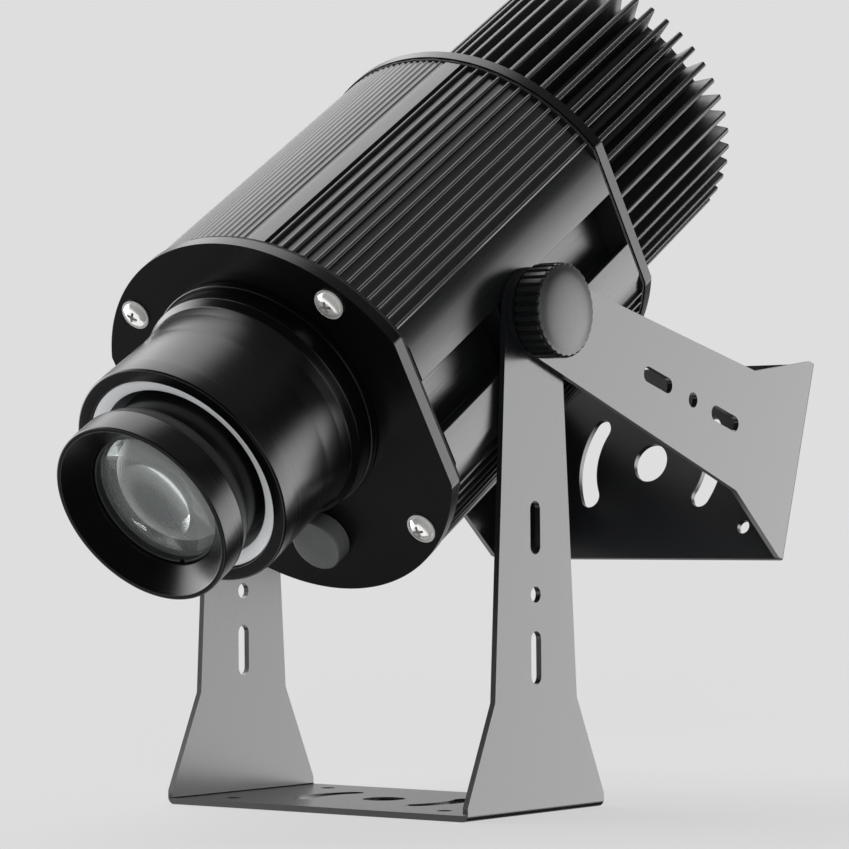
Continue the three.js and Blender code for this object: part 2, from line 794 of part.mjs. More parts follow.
function ledBoard() {
  return cylinder(boardRadius, spreaderFront + gap, spreaderFront + gap + boardThickness);
}

function ledEmitter() {
  const from = spreaderFront + 2 * gap + boardThickness;
  return cylinder(emitterRadius, from, from + emitterThickness);
}

function condenserHolder() {
  const from = spreaderFront + gap;
  const to = from + holderTubeLength;
  return turned([
    [holderTubeBore, from], [spreaderRadius, from], [spreaderRadius, to], [holderTubeBore, to],
    [holderTubeBore, lipRear + holderLipThickness], [holderLipBore, lipRear + holderLipThickness],
    [holderLipBore, lipRear], [holderTubeBore, lipRear],
  ], innerSteps);
}

function condenserRearLens() {
  const from = rearLensEdgeStation;
  return lens(holderTubeBore - gap, from, from + condenserEdge, condenserBulge / 2, 0);
}

function condenserFrontLens() {
  const to = frontLensEdgeStation;
  return lens(holderTubeBore - gap, to - condenserEdge, to, 0, condenserBulge);
}

function condenserClip(from) {
  return tube(clipRingBore, holderTubeBore - gap, from, from + clipRingThickness);
}

function driver() {
  const half = driverWidth / 2;
  const top = driverLift + driverHeight;
  const box = block([-half, driverLift, driverRear], [half, top, driverFront]);
  const feetLow = [-half, driverLift, driverRear - driverFoot];
  const feet = block(feetLow, [half, driverLift + driverFlange, driverFront + driverFoot]);
  return joined([box, feet]);
}

// The bracket blank: a bent strip, trimmed to the arm outline and pierced
function bracket() {
  const half = bracketWidth / 2;
  const strip = new THREE.Shape();
  const top = pivotHeight + armTopWidth / 2;
  strip.moveTo(-half, top);
  strip.lineTo(-half, bendRadius);
  strip.absarc(-half + bendRadius, bendRadius, bendRadius, Math.PI, 3 * quarterTurn, false);
  strip.absarc(half - bendRadius, bendRadius, bendRadius, 3 * quarterTurn, 2 * Math.PI, false);
  strip.lineTo(half, top);
  strip.lineTo(half - sheet, top);
  const inner = bendRadius - sheet;
  strip.absarc(half - bendRadius, bendRadius, inner, 0, -quarterTurn, true);
  strip.absarc(-half + bendRadius, bendRadius, inner, 3 * quarterTurn, Math.PI, true);
  strip.lineTo(-half + sheet, top);
  const halfDepth = bracketDepth / 2;
  const bent = prism(strip, -halfDepth, halfDepth, bendSteps).rotate(90, 0, 0);
  const arm = new THREE.Shape();
  arm.moveTo(-halfDepth, -overrun);
  arm.lineTo(halfDepth, -overrun);
  arm.lineTo(halfDepth, bendRadius + sheet);
  arm.lineTo(armKinkWidth / 2, armKinkHeight);
  arm.lineTo(armTopWidth / 2, pivotHeight);
  arm.absarc(0, pivotHeight, armTopWidth / 2, 0, Math.PI, false);
  arm.lineTo(-armKinkWidth / 2, armKinkHeight);
  arm.lineTo(-halfDepth, bendRadius + sheet);
  const reach = half + overrun;
  const outline = prism(arm, -reach, reach, armTopSteps).rotate(90, 0, 90);
  const blank = bent.intersect(outline);
  return cut(blank, [...armHoles(reach), ...baseHoles()]);
}

// A slot across both arms, standing upright at a height
function armSlot(height, reach) {
  const straight = (slotLength - slotWidth) / 2;
  const radius = slotWidth / 2;
  const shape = new THREE.Shape();
  shape.absarc(0, height + straight, radius, 0, Math.PI, false);
  shape.absarc(0, height - straight, radius, Math.PI, 2 * Math.PI, false);
  return prism(shape, -reach, reach, slotSteps).rotate(90, 0, 90);
}

function armHoles(reach) {
  const hole = (radius, height) =>
    cylinder(radius, -reach, reach, screwSteps).rotate(0, 90, 0).translate(0, 0, height);
  return [
    hole(armHoleRadius, armHoleHeight), hole(studBore, pivotHeight),
    armSlot(lowSlotHeight, reach), armSlot(highSlotHeight, reach),
  ];
}

function baseHoles() {
  const from = -overrun;
  const to = sheet + overrun;
  const tools = [cylinder(baseBoreRadius, from, to)];
  for (const x of [-baseHoleX, baseHoleX]) {
    for (const y of [-baseHoleY, baseHoleY]) {
      tools.push(cylinder(baseHoleRadius, from, to, screwSteps).translate(x, y, 0));
    }
  }
  const half = arcSlotWidth / 2;
  for (const turn of [0, Math.PI]) {
    const start = turn - arcSlotHalfAngle;
    const end = turn + arcSlotHalfAngle;
    const shape = new THREE.Shape();
    const roundEnd = (angle, from, to) => {
      const centre = [arcSlotRadius * Math.cos(angle), arcSlotRadius * Math.sin(angle)];
      shape.absarc(...centre, half, from, to, false);
    };
    shape.absarc(0, 0, arcSlotRadius + half, start, end, false);
    roundEnd(end, end, end + Math.PI);
    shape.absarc(0, 0, arcSlotRadius - half, end, start, true);
    roundEnd(start, start + Math.PI, start + 2 * Math.PI);
    tools.push(prism(shape, from, to, slotSteps));
  }
  return tools;
}

// Clamp parts lie along +x from the pivot, at distances from the head's middle
function teeNut() {
  const low = flatOffset - channelDepth + gap;
  const shoulder = flatOffset - channelLip - gap;
  const half = channelWidth / 2 - gap;
  const neck = channelOpening / 2 - gap;
  const reach = nutLength / 2;
  const flange = block([low, -half, -reach], [shoulder, half, reach]);
  const collar = block([shoulder - gap, -neck, -reach], [flatOffset - nutNeckInset, neck, reach]);
  const bore = cylinder(studBore, low - overrun, flatOffset + overrun, screwSteps).rotate(0, 90, 0);
  return joined([flange, collar]).subtract(bore);
}

function washer(from) {
  return tube(studBore, washerRadius, from, from + washerThickness, smallSteps).rotate(0, 90, 0);
}

function stud(knobFace) {
  const start = flatOffset - channelDepth + 2 * gap;
  return cylinder(studRadius, start, knobFace + studBoreDepth, screwSteps).rotate(0, 90, 0);
}

function knob(knobFace) {
  const flutes = [];
  for (let i = 0; i < knobFlutes; i++) {
    const middle = 2 * Math.PI * i / knobFlutes;
    const step = 2 * Math.PI / knobFlutes;
    for (const [angleShare, crestShare] of fluteShares) {
      const radius = knobRadius - fluteDepth * (1 - crestShare);
      const angle = middle + step * angleShare;
      flutes.push(new THREE.Vector2(radius * Math.cos(angle), radius * Math.sin(angle)));
    }
  }
  const edge = knobFace + knobThickness - knobEdge;
  const grip = prism(new THREE.Shape(flutes), knobFace, edge);
  const faceRadius = knobRadius - fluteDepth;
  const crown = turned([
    [0, edge - knobEdge], [faceRadius, edge - knobEdge], [faceRadius - knobEdge, edge + knobEdge],
    [faceRadius / 2, edge + knobEdge + knobDome / 2], [0, edge + knobEdge + knobDome / 2],
  ]);
  const bore = cylinder(studBore, knobFace - overrun, knobFace + studBoreDepth + gap, screwSteps);
  return joined([grip, crown]).subtract(bore).rotate(0, 90, 0);
}

function add(parent, name, solid, finish) {
  const mesh = new THREE.Mesh(toGeometry(solid), new THREE.MeshStandardMaterial(finish));
  mesh.name = name;
  parent.add(mesh);
  return mesh;
}

const group = new THREE.Group();

const floorFrame = new THREE.Group();
group.add(floorFrame);
add(floorFrame, 'floor_bracket', bracket(), blackPaint);

// The swing bracket is the same blank, shifted by one sheet and turned about the pivot axis
const swingFrame = new THREE.Group();
swingFrame.position.set(armStep, 0, pivotHeight);
swingFrame.rotation.x = swingAngle;
group.add(swingFrame);
add(swingFrame, 'swing_bracket', bracket().translate(0, 0, -pivotHeight), blackPaint);

// Head frame: x across, y up in the head, z along the beam
const head = new THREE.Group();
head.position.set(headOffset, 0, pivotHeight);
head.rotation.x = quarterTurn + headTilt;
group.add(head);

add(head, 'housing', housing(), blackAnodised);
add(head, 'front_gasket', endGasket(frontGasketRear, frontGasketRear + gasket), rubber);
add(head, 'front_plate', frontPlate(), blackPaint);
add(head, 'rear_gasket', endGasket(rearGasketFront - gasket, rearGasketFront), rubber);
add(head, 'rear_plate', rearPlate(), blackPaint);
screwPlaces.forEach(([x, y], index) => {
  const screw = () => panScrew(screwHeadRadius, screwHeadHeight, screwShankRadius, screwLength);
  add(head, `front_screw_${index + 1}`, screw().translate(x, y, frontFace), chrome);
  add(head, `rear_screw_${index + 1}`, screw().rotate(180, 0, 0).translate(x, y, rearFace), chrome);
});

add(head, 'heat_sink', heatSink(), blackAnodised);
add(head, 'sink_cover', sinkCover(), blackPaint);
add(head, 'cable_gland', cableGland(), plasticBlack);
coverScrewPlaces().forEach(([x, y], index) => {
  const screw = panScrew(coverScrewHead, coverScrewHeadHeight, coverScrewRadius, coverScrewLength);
  add(head, `cover_screw_${index + 1}`, screw.rotate(180, 0, 0).translate(x, y, sinkRear), chrome);
});

// Everything on the optical axis hangs in its own frame
const optics = new THREE.Group();
optics.position.y = opticLift;
head.add(optics);
add(optics, 'heat_spreader', heatSpreader(), rawAluminium);
add(optics, 'led_board', ledBoard(), solderMask);
add(optics, 'led_emitter', ledEmitter(), phosphor);
add(optics, 'condenser_holder', condenserHolder(), blackAnodised);
add(optics, 'condenser_lens_rear', condenserRearLens(), glass);
add(optics, 'condenser_lens_front', condenserFrontLens(), glass);
add(optics, 'condenser_clip_rear', condenserClip(rearLensEdgeStation - gap - clipRingThickness), chrome);
add(optics, 'condenser_clip_front', condenserClip(frontLensEdgeStation + gap), chrome);
add(optics, 'lens_flange', lensFlange(), blackSatin);
add(optics, 'lens_tube', lensTube(), blackSatin);
add(optics, 'tube_lock_ring', lockRing(), blackAnodised);
add(optics, 'focus_sleeve', focusSleeve(), silverAnodised);
add(optics, 'focus_barrel', focusBarrel(), blackSatin);
add(optics, 'rear_objective_lens', rearObjectiveLens(), glass);
add(optics, 'rear_lens_ring', rearLensRing(), blackAnodised);
add(optics, 'lens_hood', lensHood(), blackSatin);
add(optics, 'front_objective_lens', frontObjectiveLens(), glass);
add(optics, 'lens_retaining_ring', lensRetainingRing(), blackAnodised);
add(optics, 'gobo_gear', goboGear(), acetal);
add(optics, 'gobo_disc', goboDisc(), glass);
add(optics, 'gobo_clip', goboClip(), chrome);

add(head, 'rotator_plate', rotatorPlate(), rawAluminium);
add(head, 'rotator_motor', rotatorMotor(), chrome);
add(head, 'motor_shaft', motorShaft(), chrome);
add(head, 'motor_pinion', motorPinion(), acetal);
add(head, 'motor_cap', motorCap(), plasticBlack);
add(head, 'driver', driver(), plasticBlack);

// Clamps: the near side passes both arms on the outside, the far side likewise
const armOuter = bracketWidth / 2;
const sides = [
  { name: 'near', turn: 0, outerFace: armOuter + armStep - headOffset },
  { name: 'far', turn: Math.PI, outerFace: armOuter + headOffset },
];
for (const { name, turn, outerFace } of sides) {
  const side = new THREE.Group();
  side.rotation.y = turn;
  head.add(side);
  const knobFace = outerFace + gap + washerThickness + gap;
  add(side, `${name}_tee_nut`, teeNut(), rawAluminium);
  add(side, `${name}_washer`, washer(outerFace + gap), chrome);
  add(side, `${name}_stud`, stud(knobFace), chrome);
  add(side, `${name}_knob`, knob(knobFace), plasticBlack);
}

// The origin sits under the middle of the whole part
group.updateMatrixWorld(true);
const bounds = new THREE.Box3().setFromObject(group, true);
const middle = bounds.getCenter(new THREE.Vector3());
group.position.set(-middle.x, -middle.y, -bounds.min.z);

export default group;
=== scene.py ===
"""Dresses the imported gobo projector: ribbed head, lens tube, heat sink and two brackets."""

import json
import math

import bpy
from bpy.props import FloatProperty, FloatVectorProperty, IntProperty, PointerProperty
from bpy.types import Operator, Panel, PropertyGroup
from mathutils import Matrix, Vector
from mathutils.geometry import tessellate_polygon


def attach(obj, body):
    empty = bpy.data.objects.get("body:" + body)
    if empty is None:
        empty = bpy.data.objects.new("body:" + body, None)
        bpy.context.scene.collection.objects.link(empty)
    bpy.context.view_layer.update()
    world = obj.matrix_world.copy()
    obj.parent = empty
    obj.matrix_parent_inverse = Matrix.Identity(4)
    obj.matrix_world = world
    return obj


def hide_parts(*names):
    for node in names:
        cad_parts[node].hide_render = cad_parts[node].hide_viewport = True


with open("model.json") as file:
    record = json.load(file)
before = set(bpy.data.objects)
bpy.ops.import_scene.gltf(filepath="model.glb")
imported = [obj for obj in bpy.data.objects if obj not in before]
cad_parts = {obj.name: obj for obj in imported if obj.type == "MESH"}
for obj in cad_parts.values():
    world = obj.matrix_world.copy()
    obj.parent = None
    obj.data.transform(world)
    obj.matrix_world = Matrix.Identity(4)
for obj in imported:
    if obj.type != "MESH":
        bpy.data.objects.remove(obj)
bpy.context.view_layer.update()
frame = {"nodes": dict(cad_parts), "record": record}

bl_info = {
    "name": "Gobo Projector Looks",
    "version": (1, 0, 0),
    "blender": (4, 5, 0),
    "location": "View3D > Sidebar > Projector",
    "description": "Builds the finished pieces of a gobo projector on its packed frame",
    "category": "Object",
}

MM = 0.001
FULL_TURN = 2 * math.pi
QUARTER = math.pi / 2

# The head turns about the pivot: local x runs across, y is up in the head, z is the beam
PIVOT = Vector((0, -18.2, 198)) * MM
HEAD_TURN = math.radians(122.7)
HEAD = Matrix.Translation(PIVOT) @ Matrix.Rotation(HEAD_TURN, 4, "X")
OPTIC_LIFT = 12 * MM
OPTICS = HEAD @ Matrix.Translation((0, OPTIC_LIFT, 0))

# The floor bracket stands upright, and the swing bracket hangs from the same pivot. Each is set
# off to its own side, so that their arms lie face to face
BRACKET_OFFSET = 1.4 * MM
SWING_TURN = math.radians(72.7)
FLOOR = Matrix.Translation((-BRACKET_OFFSET, PIVOT.y, 0))
SWING_PIVOT = Matrix.Translation((BRACKET_OFFSET, PIVOT.y, PIVOT.z))
SWING = SWING_PIVOT @ Matrix.Rotation(SWING_TURN, 4, "X") @ Matrix.Translation((0, 0, -PIVOT.z))

FLIP = Matrix.Rotation(math.pi, 4, "X")

# Edges that turn by more than this, in degrees, stay sharp
SHARP = 35
# A corner is left alone when it is this close to straight, in radians, and the rounding of any
# other takes at most this share of a side
NEARLY_STRAIGHT = 0.01
SIDE_SHARE = 0.49
# A profile's point this close to the axis, in metres, lies on it
ON_AXIS = 1e-7
# How far a cutting tool runs out past the solid that it cuts
OVERRUN = 2 * MM


def linear(text):
    """An sRGB hex colour as linear red, green, blue."""
    shares = [int(text[i:i + 2], 16) / 255 for i in (0, 2, 4)]
    return [c / 12.92 if c <= 0.04045 else ((c + 0.055) / 1.055) ** 2.4 for c in shares]


def length(label, note, default):
    """A size in millimetres, kept in metres."""
    size = default * MM
    return FloatProperty(name=label, description=note, default=size, unit="LENGTH", precision=5)


def turn(label, note, default):
    """An angle in degrees, kept in radians."""
    angle = math.radians(default)
    return FloatProperty(name=label, description=note, default=angle, unit="ROTATION")


def colour(label, note, default):
    """A colour given as sRGB hex."""
    shade = linear(default)
    return FloatVectorProperty(name=label, description=note, default=shade, size=3, subtype="COLOR")


class BracketSizes(PropertyGroup):
    width: length("Width", "Outside width across both arms", 156.4)
    depth: length("Depth", "Depth of the base", 89)
    sheet: length("Sheet", "Thickness of the sheet", 2.5)
    bend: length("Bend", "Outside radius of both bends", 3)
    kink_height: length("Kink height", "Height where the arm's taper changes", 45)
    kink_width: length("Kink width", "Width of the arm at the kink", 53.4)
    top_width: length("Top width", "Width of the arm's round top", 35.3)
    slot_length: length("Slot length", "Overall length of an arm slot", 21)
    slot_width: length("Slot width", "Width of an arm slot", 6.5)
    low_slot: length("Low slot", "Height of the lower slot's middle", 61.5)
    arm_hole: length("Arm hole", "Height of the round hole between the slots", 86.4)
    high_slot: length("High slot", "Height of the upper slot's middle", 112.8)
    arm_bore: length("Arm bore", "Radius of the round hole between the slots", 3.2)
    stud_bore: length("Stud bore", "Radius of the hole for the clamp's stud", 4.2)
    base_bore: length("Base bore", "Radius of the bore in the base", 8.75)
    corner_x: length("Corner hole x", "Distance of the base's corner holes across", 55.3)
    corner_y: length("Corner hole y", "Distance of the base's corner holes along", 30)
    corner_bore: length("Corner bore", "Radius of the base's corner holes", 3)
    arc_radius: length("Arc slot radius", "Radius of the arc slots' middle line", 34)
    arc_width: length("Arc slot width", "Width of the arc slots", 9.5)
    arc_half: turn("Arc slot half angle", "Half the angle of an arc slot", 28)
    edge: length("Edge", "Rounding of the cut edges", 0.3)


class BodySizes(PropertyGroup):
    radius: length("Body radius", "Outside radius of the end plates", 80)
    flat: length("Flat offset", "Distance of the side flats from the middle", 73.5)
    front: length("Front end", "Station of the housing's front end", 71)
    rear: length("Rear end", "Station of the housing's rear end", -74.8)
    root: length("Rib root", "Radius between the ribs", 77.8)
    crest: length("Rib crest", "Radius over the ribs", 79.6)
    land: length("Land", "Radius of the smooth land over the top", 79.3)
    land_start: turn("Land start", "Angle of the land's edge above the flat", 72.2)
    land_flank: length("Land flank", "Width of the slope at each end of the land", 0.2)
    rib_width: length("Rib", "Width of the ribs on the quarters", 1.7)
    rib_foot: length("Rib foot", "Fillet at each foot of a rib", 0.2)
    rib_start: turn("First rib", "Angle of the first rib above the flat", 26.4)
    rib_pitch: turn("Rib pitch", "Angle between ribs on the quarters", 3.65)
    rib_count: IntProperty(name="Ribs", description="Ribs on two quarters", default=13)
    far_ribs: IntProperty(name="Far ribs", description="Ribs on the other two", default=8)
    flute: length("Flute", "Depth of the flutes over the top", 0.55)
    flute_crest: length("Flute crest", "Width of the crests between the flutes", 0.45)
    flute_start: turn("First flute", "Angle where the flutes begin above the flat", 77.35)
    flute_pitch: turn("Flute pitch", "Angle between the flutes over the top", 2.3)
    flute_count: IntProperty(name="Flutes", description="Flutes over the top", default=21)
    end_edge: length("End edge", "Rounding of the housing's sawn ends", 0.12)
    wall: length("Wall", "Thickness of the housing's wall", 3.5)
    mouth: length("Channel mouth", "Width of the side channels' mouth", 23)
    channel: length("Channel width", "Width of the side channels inside", 31)
    channel_depth: length("Channel depth", "Depth of the side channels", 11)
    channel_edge: length("Channel edge", "Rounding of the channels' edges", 0.4)
    channel_wall: length("Channel wall", "Thickness of the wall round the channels", 3)
    lip: length("Channel lip", "Thickness of the channels' lips", 3)
    plate: length("Plate", "Thickness of the end plates", 5)
    front_face: length("Front face", "Station of the front plate's face", 78)
    rear_face: length("Rear face", "Station of the rear plate's face", -81.8)
    chamfer: length("Chamfer", "Rounded edge of the end plates", 0.8)
    screw_x: length("Screw x", "Distance of the screws across", 50.2)
    screw_y: length("Screw y", "Distance of the screws up", 50.8)
    screw_bore: length("Screw bore", "Radius of the screws' holes in the plates", 2.6)
    tube_bore: length("Tube bore", "Radius of the front plate's bore for the lens tube", 39.9)
    rear_bore: length("Rear bore", "Radius of the rear plate's bore", 30.3)
    motor_bore: length("Motor bore", "Radius of the front plate's bore for the motor cap", 9.8)
    motor_drop: length("Motor drop", "Distance of the motor cap below the middle", -54)


class OpticsSizes(PropertyGroup):
    flange: length("Flange radius", "Radius of the disc on the front plate", 51.3)
    neck: length("Neck radius", "Radius of the tube's neck", 50.1)
    waist: length("Waist radius", "Radius of the tube's waist", 47.2)
    mouth: length("Mouth radius", "Radius of the tube's mouth", 47.9)
    sleeve_bore: length("Sleeve bore", "Bore of the silver sleeve", 37)
    sleeve: length("Sleeve radius", "Radius of the silver sleeve", 42.2)
    barrel: length("Barrel radius", "Radius of the focus barrel's front part", 34)
    hood: length("Hood radius", "Radius of the hood's shoulder", 38.75)
    aperture: length("Aperture", "Radius of the hood's aperture", 28.5)
    lens_bulge: length("Lens bulge", "Height of the front lens' domes", 7)


class SinkSizes(PropertyGroup):
    fins: IntProperty(name="Fins", description="Number of fins", default=48)
    tip: length("Tip radius", "Radius at the fins' tips", 63)
    root: length("Root radius", "Radius between the fins", 53)
    fin: length("Fin", "Thickness of a fin at its tip", 2.5)
    fin_corner: length("Fin corner", "Rounding of a fin's two tip corners", 0.8)
    front: length("Front end", "Station of the heat sink's front end", -82.1)
    rear: length("Rear end", "Station of the heat sink's rear end", -183.1)
    pocket: length("Pocket", "Radius of the pocket under the cover", 44.3)
    pocket_depth: length("Pocket depth", "Depth of the pocket under the cover", 2.3)
    bore: length("Bore", "Radius of the hollow behind the cover", 40)
    nose: length("Nose", "Thickness of the solid front end", 9)
    cover: length("Cover", "Radius of the end cover", 44)
    cover_sheet: length("Cover sheet", "Thickness of the end cover", 2)
    screw_circle: length("Screw circle", "Radius of the circle of the cover's screws", 42)


class ClampSizes(PropertyGroup):
    radius: length("Knob radius", "Radius of a knob over its flutes", 18.8)
    thickness: length("Knob thickness", "Thickness of a knob with its dome", 13.8)
    flutes: IntProperty(name="Flutes", description="Number of flutes round a knob", default=30)
    flute: length("Flute depth", "Depth of a flute", 0.95)
    face: length("Knob face", "Distance of a knob's inner face from the middle", 81)
    shoulder: length("Knob shoulder", "Rounding of a knob's shoulder", 1.4)
    washer: length("Washer", "Radius of the washer under a knob", 9)
    stud: length("Stud", "Radius of the stud", 3.9)
    stud_end: length("Stud end", "Distance of the stud's inner end from the middle", 63.1)


class Finishes(PropertyGroup):
    bracket: colour("Bracket", "Powder coat of the brackets", "131416")
    housing: colour("Housing", "Anodised housing", "0e0f10")
    plate: colour("Plates", "Anodised end plates", "070708")
    gloss: colour("Lens housing", "Glossy anodised tube and hood", "050505")
    silver: colour("Sleeve", "Clear anodised sleeve", "f4f7f9")
    sink: colour("Heat sink", "Anodised fins", "0b0c0d")
    plastic: colour("Moulded parts", "Moulded black plastic", "111213")
    cap: colour("Motor cap", "Moulded grey plastic", "4f5051")
    floor: colour("Floor", "Studio floor", "666666")


class ProjectorSizes(PropertyGroup):
    bracket: PointerProperty(type=BracketSizes)
    body: PointerProperty(type=BodySizes)
    optics: PointerProperty(type=OpticsSizes)
    sink: PointerProperty(type=SinkSizes)
    clamp: PointerProperty(type=ClampSizes)
    finish: PointerProperty(type=Finishes)


# Mesh helpers

def circle(radius, steps=96, centre=(0, 0), start=0.0):
    """Points round a circle, anticlockwise."""
    angles = [start + FULL_TURN * i / steps for i in range(steps)]
    return [(centre[0] + radius * math.cos(a), centre[1] + radius * math.sin(a)) for a in angles]


def arc(centre, radius, start, end, steps=16):
    """Points along an arc, both ends included."""
    angles = [start + (end - start) * i / steps for i in range(steps + 1)]
    return [(centre[0] + radius * math.cos(a), centre[1] + radius * math.sin(a)) for a in angles]


def rounded(points, radius, steps=4, closed=True):
    """The outline with its corners rounded; radius is one value or one for each corner."""
    radii = [radius] * len(points) if isinstance(radius, (int, float)) else radius
    made = []
    for i, (point, r) in enumerate(zip(points, radii)):
        here = Vector(point)
        if r <= 0 or (not closed and i in (0, len(points) - 1)):
            made.append(tuple(here))
            continue
        back = Vector(points[i - 1]) - here
        ahead = Vector(points[(i + 1) % len(points)]) - here
        half = back.angle(ahead) / 2
        if half > QUARTER - NEARLY_STRAIGHT:
            made.append(tuple(here))
            continue
        reach = min(r / math.tan(half), SIDE_SHARE * back.length, SIDE_SHARE * ahead.length)
        r = reach * math.tan(half)
        middle = here + (back.normalized() + ahead.normalized()).normalized() * (r / math.sin(half))
        start = here + back.normalized() * reach - middle
        end = here + ahead.normalized() * reach - middle
        for k in range(steps + 1):
            direction = start.lerp(end, k / steps).normalized()
            made.append(tuple(middle + direction * r))
    return made


def around(section, angle):
    """Points of (radius, side) turned to an angle about the middle."""
    out = Vector((math.cos(angle), math.sin(angle)))
    along = Vector((-out.y, out.x))
    return [tuple(out * radius + along * side) for radius, side in section]


def ring_section(bore, radius, low, high, edge, steps):
    """The section of a plain ring with its four corners rounded."""
    return rounded([(bore, low), (radius, low), (radius, high), (bore, high)], edge, steps)


def scaled(points):
    """Points in millimetres as metres."""
    return [(x * MM, y * MM) for x, y in points]


def place(name, verts, faces, matrix, sharp=SHARP):
    """A new mesh object with smooth faces and sharp edges above an angle in degrees."""
    mesh = bpy.data.meshes.new(name)
    mesh.from_pydata([tuple(v) for v in verts], [], faces)
    mesh.validate()
    piece = bpy.data.objects.new(name, mesh)
    bpy.context.scene.collection.objects.link(piece)
    piece.matrix_world = matrix
    smooth(piece, sharp)
    return piece


def smooth(piece, sharp=SHARP):
    """Smooth faces, with edges above an angle in degrees kept sharp."""
    for polygon in piece.data.polygons:
        polygon.use_smooth = True
    piece.data.set_sharp_from_angle(angle=math.radians(sharp))


def turned(name, profile, matrix, steps=144, sharp=SHARP):
    """A closed profile of (radius, station) points, turned about the local z axis."""
    verts, rings = [], []
    for radius, station in profile:
        if radius < ON_AXIS:
            rings.append([len(verts)] * steps)
            verts.append((0, 0, station))
            continue
        rings.append(range(len(verts), len(verts) + steps))
        verts.extend((x, y, station) for x, y in circle(radius, steps))
    faces = []
    for low, high in zip(rings, [*rings[1:], rings[0]]):
        for i in range(steps):
            j = (i + 1) % steps
            corners = dict.fromkeys([low[i], low[j], high[j], high[i]])
            if len(corners) > 2:
                faces.append(list(corners))
    return place(name, verts, faces, matrix, sharp)


def extruded(name, loops, low, high, matrix, sharp=SHARP):
    """An outline, the first loop, with any holes after it, extruded along the local z axis."""
    flat = [[Vector((x, y, 0)) for x, y in loop] for loop in loops]
    count = sum(len(loop) for loop in loops)
    points = [point for loop in loops for point in loop]
    verts = [(x, y, low) for x, y in points] + [(x, y, high) for x, y in points]
    faces = []
    for a, b, c in tessellate_polygon(flat):
        pa, pb, pc = (Vector(points[k]) for k in (a, b, c))
        if (pb - pa).cross(pc - pa) < 0:
            b, c = c, b
        faces.append((a + count, b + count, c + count))
        faces.append((c, b, a))
    start = 0
    for number, loop in enumerate(loops):
        area = sum(p[0] * q[1] - q[0] * p[1] for p, q in zip(loop, [*loop[1:], loop[0]]))
        outward = (area > 0) == (number == 0)
        for i in range(len(loop)):
            a, b = start + i, start + (i + 1) % len(loop)
            side = (a, b, b + count, a + count)
            faces.append(side if outward else side[::-1])
        start += len(loop)
    return place(name, verts, faces, matrix, sharp)


def applied(piece):
    """Makes a piece's modifiers into its mesh."""
    bpy.context.view_layer.update()
    evaluated = piece.evaluated_get(bpy.context.evaluated_depsgraph_get())
    mesh = bpy.data.meshes.new_from_object(evaluated)
    piece.modifiers.clear()
    piece.data = mesh


def combine(piece, tools, operation="DIFFERENCE"):
    """Cuts a piece by other solids, joins them or keeps it inside them, and uses them up."""
    for tool in tools:
        step = piece.modifiers.new(operation.lower(), "BOOLEAN")
        step.operation = operation
        step.solver = "EXACT"
        step.object = tool
    applied(piece)
    for tool in tools:
        bpy.data.objects.remove(tool)


def soften(piece, width, segments=2, sharp=SHARP):
    """Rounds the sharp edges, so that they catch the light."""
    bevel = piece.modifiers.new("edge", "BEVEL")
    bevel.width = width
    bevel.segments = segments
    bevel.limit_method = "ANGLE"
    bevel.angle_limit = math.radians(sharp)
    applied(piece)
    smooth(piece, sharp)
    # Normals weighted by area keep the flat faces flat up to their rounded edges
    weighted = piece.modifiers.new("flatten", "WEIGHTED_NORMAL")
    weighted.keep_sharp = True
    applied(piece)


def finish_piece(piece, body, material, node):
    """Gives a piece its material, its body and the node that it stands for."""
    piece.data.materials.clear()
    piece.data.materials.append(material)
    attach(piece, body)
    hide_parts(node)


# Materials

# Nearly all values of a noise texture lie between these
NOISE_LOW, NOISE_HIGH = 0.3, 0.7
PALETTE = {}


def add_node(tree, kind, inputs=None, **settings):
    """Adds a node with its settings, and links or fills its inputs."""
    node = tree.nodes.new(kind)
    for name, value in settings.items():
        setattr(node, name, value)
    for key, value in (inputs or {}).items():
        if isinstance(value, bpy.types.NodeSocket):
            tree.links.new(value, node.inputs[key])
        else:
            node.inputs[key].default_value = value
    return node


def new_material(name, **values):
    """A material with its shader's constant values set on the shader itself."""
    material = bpy.data.materials.new(name)
    material.use_nodes = True
    tree = material.node_tree
    tree.nodes.clear()
    inputs = {}
    for key, value in values.items():
        inputs[key.replace("_", " ").title().replace("Ior", "IOR")] = value
    shader = add_node(tree, "ShaderNodeBsdfPrincipled", inputs)
    add_node(tree, "ShaderNodeOutputMaterial", {"Surface": shader.outputs[0]})
    return material, tree, shader


def grain(tree, scale, detail, stretch=(1, 1, 1)):
    """Noise in the piece's own metres; scale is in grains per metre."""
    where = add_node(tree, "ShaderNodeTexCoord").outputs["Object"]
    sized = add_node(tree, "ShaderNodeMapping", {"Vector": where, "Scale": stretch}).outputs[0]
    inputs = {"Vector": sized, "Scale": scale, "Detail": detail}
    return add_node(tree, "ShaderNodeTexNoise", inputs).outputs["Fac"]


def spread(tree, value, low, high):
    """A 0 to 1 value spread between two limits."""
    inputs = {"Value": value, "From Min": NOISE_LOW, "From Max": NOISE_HIGH,
              "To Min": low, "To Max": high}
    return add_node(tree, "ShaderNodeMapRange", inputs).outputs["Result"]


def shades(tree, value, dark, light):
    """A colour between two shades of a paint or metal."""
    ramp = add_node(tree, "ShaderNodeValToRGB", {"Fac": value})
    stops = zip(ramp.color_ramp.elements, (NOISE_LOW, NOISE_HIGH), (dark, light))
    for stop, position, shade in stops:
        stop.position = position
        stop.color = [*shade, 1]
    return ramp.outputs["Color"]


def bump(tree, height, strength, distance):
    """Surface relief; distance is the relief's real depth in metres."""
    inputs = {"Height": height, "Strength": strength, "Distance": distance}
    return add_node(tree, "ShaderNodeBump", inputs).outputs["Normal"]


def tint(base, share):
    """A lighter or darker shade of a colour."""
    return [min(1, c * share) for c in base]


